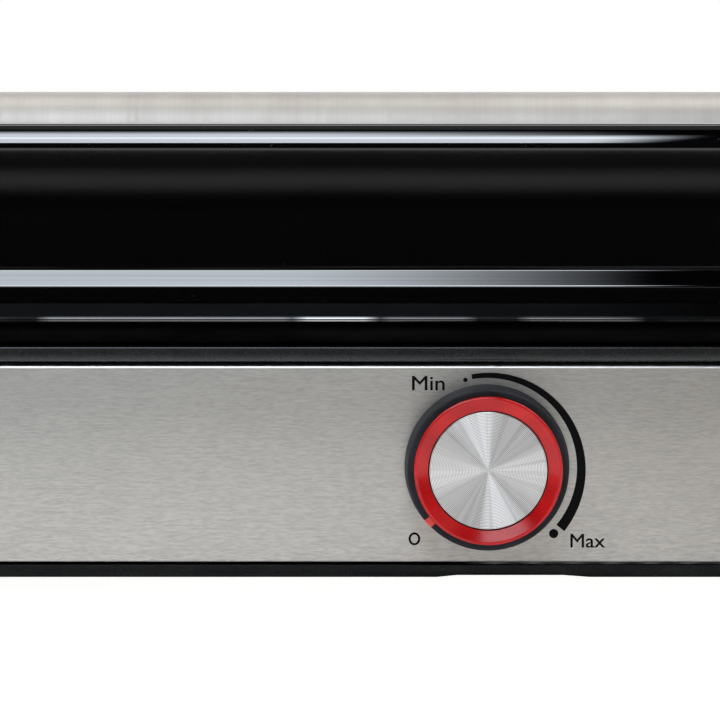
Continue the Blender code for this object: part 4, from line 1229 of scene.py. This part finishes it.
def fade_glow(piece, *fades, strip=None, weak=None):
    """Fade a card's glow from full to nothing along its axes, each fade as (axis, dark, bright).

    strip is a brighter band, as (axis, center, reach, gain). weak dims the part of a card beyond a
    place along Y towards a place along X, as (Y start, Y end, X bright, X dark).
    """
    tree = piece.data.materials[0].node_tree
    glow = next(node for node in tree.nodes if node.type == "EMISSION")
    place = add_node(tree, "ShaderNodeTexCoord").outputs["Object"]
    parts = add_node(tree, "ShaderNodeSeparateXYZ", {0: place})

    def faded(axis, dark, bright):
        values = {"Value": parts.outputs[axis], "From Min": dark, "From Max": bright}
        node = add_node(tree, "ShaderNodeMapRange", values, interpolation_type="SMOOTHSTEP")
        return node.outputs["Result"]

    def joined(operation, first, second):
        return add_node(tree, "ShaderNodeMath", {0: first, 1: second}, operation=operation).outputs[0]

    level = glow.inputs["Strength"].default_value
    for fade in fades:
        level = joined("MULTIPLY", level, faded(*fade))
    if strip:
        axis, center, reach, gain = strip
        rise = joined("MULTIPLY", faded(axis, center - reach, center - reach * 0.3),
                      faded(axis, center + reach, center + reach * 0.3))
        level = joined("MULTIPLY", level, joined("ADD", 1.0, joined("MULTIPLY", rise, gain)))
    if weak:
        start, end, bright, dark = weak
        weaker = joined("SUBTRACT", 1.0, faded("X", dark, bright))
        lost = joined("MULTIPLY", faded("Y", start, end), weaker)
        level = joined("MULTIPLY", level, joined("SUBTRACT", 1.0, lost))
    tree.links.new(level, glow.inputs["Strength"])


# Where the studio's cards lie, as (y, z) edges: the key leans over the front, and the ceiling
# is above the back.
KEY_NEAR, KEY_FAR = (-0.96, 0.62), (-0.03, 0.82)
CEILING_NEAR, CEILING_FAR = (-0.10, 1.20), (1.10, 1.25)
LOW_Y, HAZE_Y = -1.42, -1.31
STRIP_X, STRIP_SPAN, STRIP_HEIGHT = 1.05, (-1.65, -1.10), 0.05


def make_lights():
    """Cards all round: the key and low ones shape the front, the rest the rollers, ends and back."""
    key = wide_card("key_card", (-0.80, 0.13), KEY_NEAR, KEY_FAR, 4.4, (0.86, 0.93, 1.01))
    fade_glow(key, ("X", 0.120, 0.070), ("X", -0.54, -0.38), ("Y", -0.10, -0.40),
              strip=("Y", -0.566, 0.085, 0.45), weak=(-0.50, -0.34, -0.08, 0.10))
    wide_card("right_key", (0.42, 1.30), KEY_NEAR, KEY_FAR, 0.4, (1.0, 0.97, 0.93))
    low_card = wide_card("low_card", (-0.9, 0.32), (LOW_Y, 0.088), (LOW_Y, 0.340), 0.40)
    fade_glow(low_card, ("X", 0.31, 0.20), ("Z", 0.0893, 0.0950), ("Z", 0.34, 0.28))
    haze = wide_card("haze_card", (-0.7, 0.50), (HAZE_Y, 0.0600), (HAZE_Y, 0.0856), 0.145)
    fade_glow(haze, ("X", 0.50, 0.35), ("Z", 0.0675, 0.0763), ("Z", 0.0853, 0.0765))
    wide_card("back_card", (-1.1, 1.1), (1.25, 0.16), (1.25, 1.20), 1.2)
    wide_card("rim_card", (-1.1, 1.1), (0.66, 0.95), (0.50, 1.00), 0.8)
    wide_card("left_ceiling", (-1.50, -0.42), CEILING_NEAR, CEILING_FAR, 6.2)
    wide_card("right_ceiling", (0.36, 1.50), CEILING_NEAR, CEILING_FAR, 7.2)
    wide_card("mid_ceiling", (-0.42, 0.36), (-0.02, 1.20), CEILING_FAR, 0.10)
    side_card("right_card", (-0.3, 0.9), (1.0, 0.10), (0.9, 0.9), 2.2)
    side_card("left_card", (-0.3, 0.9), (-1.1, 0.10), (-1.0, 0.9), 1.8)
    for side, x, heights in (("left", -STRIP_X, (0.06, 0.24)), ("right", STRIP_X, (0.02, 0.16))):
        for index, height in enumerate(heights):
            bottom = KNOB.z + height
            side_card(f"{side}_strip_{index}", STRIP_SPAN, (x, bottom), (x, bottom + STRIP_HEIGHT), 10.0)


def make_world():
    """White to the camera, pale as a light on the pieces, and almost black in their reflections."""
    world = bpy.data.worlds.new("studio")
    world.use_nodes = True
    tree = world.node_tree
    tree.nodes.clear()

    def background(color, strength):
        values = {"Color": (*color, 1.0), "Strength": strength}
        return add_node(tree, "ShaderNodeBackground", values).outputs[0]

    def chosen(factor, first, second):
        return add_node(tree, "ShaderNodeMixShader", {0: factor, 1: first, 2: second}).outputs[0]

    rays = add_node(tree, "ShaderNodeLightPath").outputs
    lit, mirrored = background((0.95, 0.97, 1.0), 0.35), background((0.9, 0.95, 1.0), 0.006)
    unseen = chosen(rays["Is Glossy Ray"], lit, mirrored)
    seen = chosen(rays["Is Camera Ray"], unseen, background(WHITE, 1.0))
    add_node(tree, "ShaderNodeOutputWorld", {"Surface": seen})
    bpy.context.scene.world = world
    bpy.context.scene.view_settings.view_transform = "Standard"


def floor_piece(name, x_range, y_range, height, glow):
    """A level stretch of the pale floor, which may glow a little."""
    (x0, x1), (y0, y1) = x_range, y_range
    piece = stage_piece(name, [(x0, y0, height), (x1, y0, height), (x1, y1, height), (x0, y1, height)])
    look = Surface(name, 0.6, 0.0, Emission_Color=(1.0, 1.0, 0.99, 1.0), Emission_Strength=glow)
    cloud = look.noise(3.0)
    look.set("Base Color", look.mix(cloud, (0.70, 0.70, 0.69), (0.74, 0.74, 0.735)))
    piece.data.materials.append(look.material)
    return piece


def make_floor():
    """A wide floor that the camera sees, and one nearer that only the gloss reflects."""
    wide = floor_piece("floor", (-6.0, 6.0), (-6.0, 6.0), 0.0, 0.90)
    wide.visible_glossy = False
    near = floor_piece("near_floor", (-1.4, 1.4), (-0.60, 1.2), 0.00005, 0.0)
    near.visible_camera = False
    near.visible_shadow = False
    near.visible_diffuse = False


# ---- The whole grill ----

make_camera()
make_lights()
make_world()
make_floor()
make_front_panel()
make_rear_panel()
make_deck()
make_rails()
make_drip_tray()
make_base_pan()
make_feet()
make_inner_plates()
make_end_covers()
make_bushes()
make_rollers()
make_knob()
make_pointer()
make_scale()
make_inlet()
make_screws()
repaint_hidden_pieces()
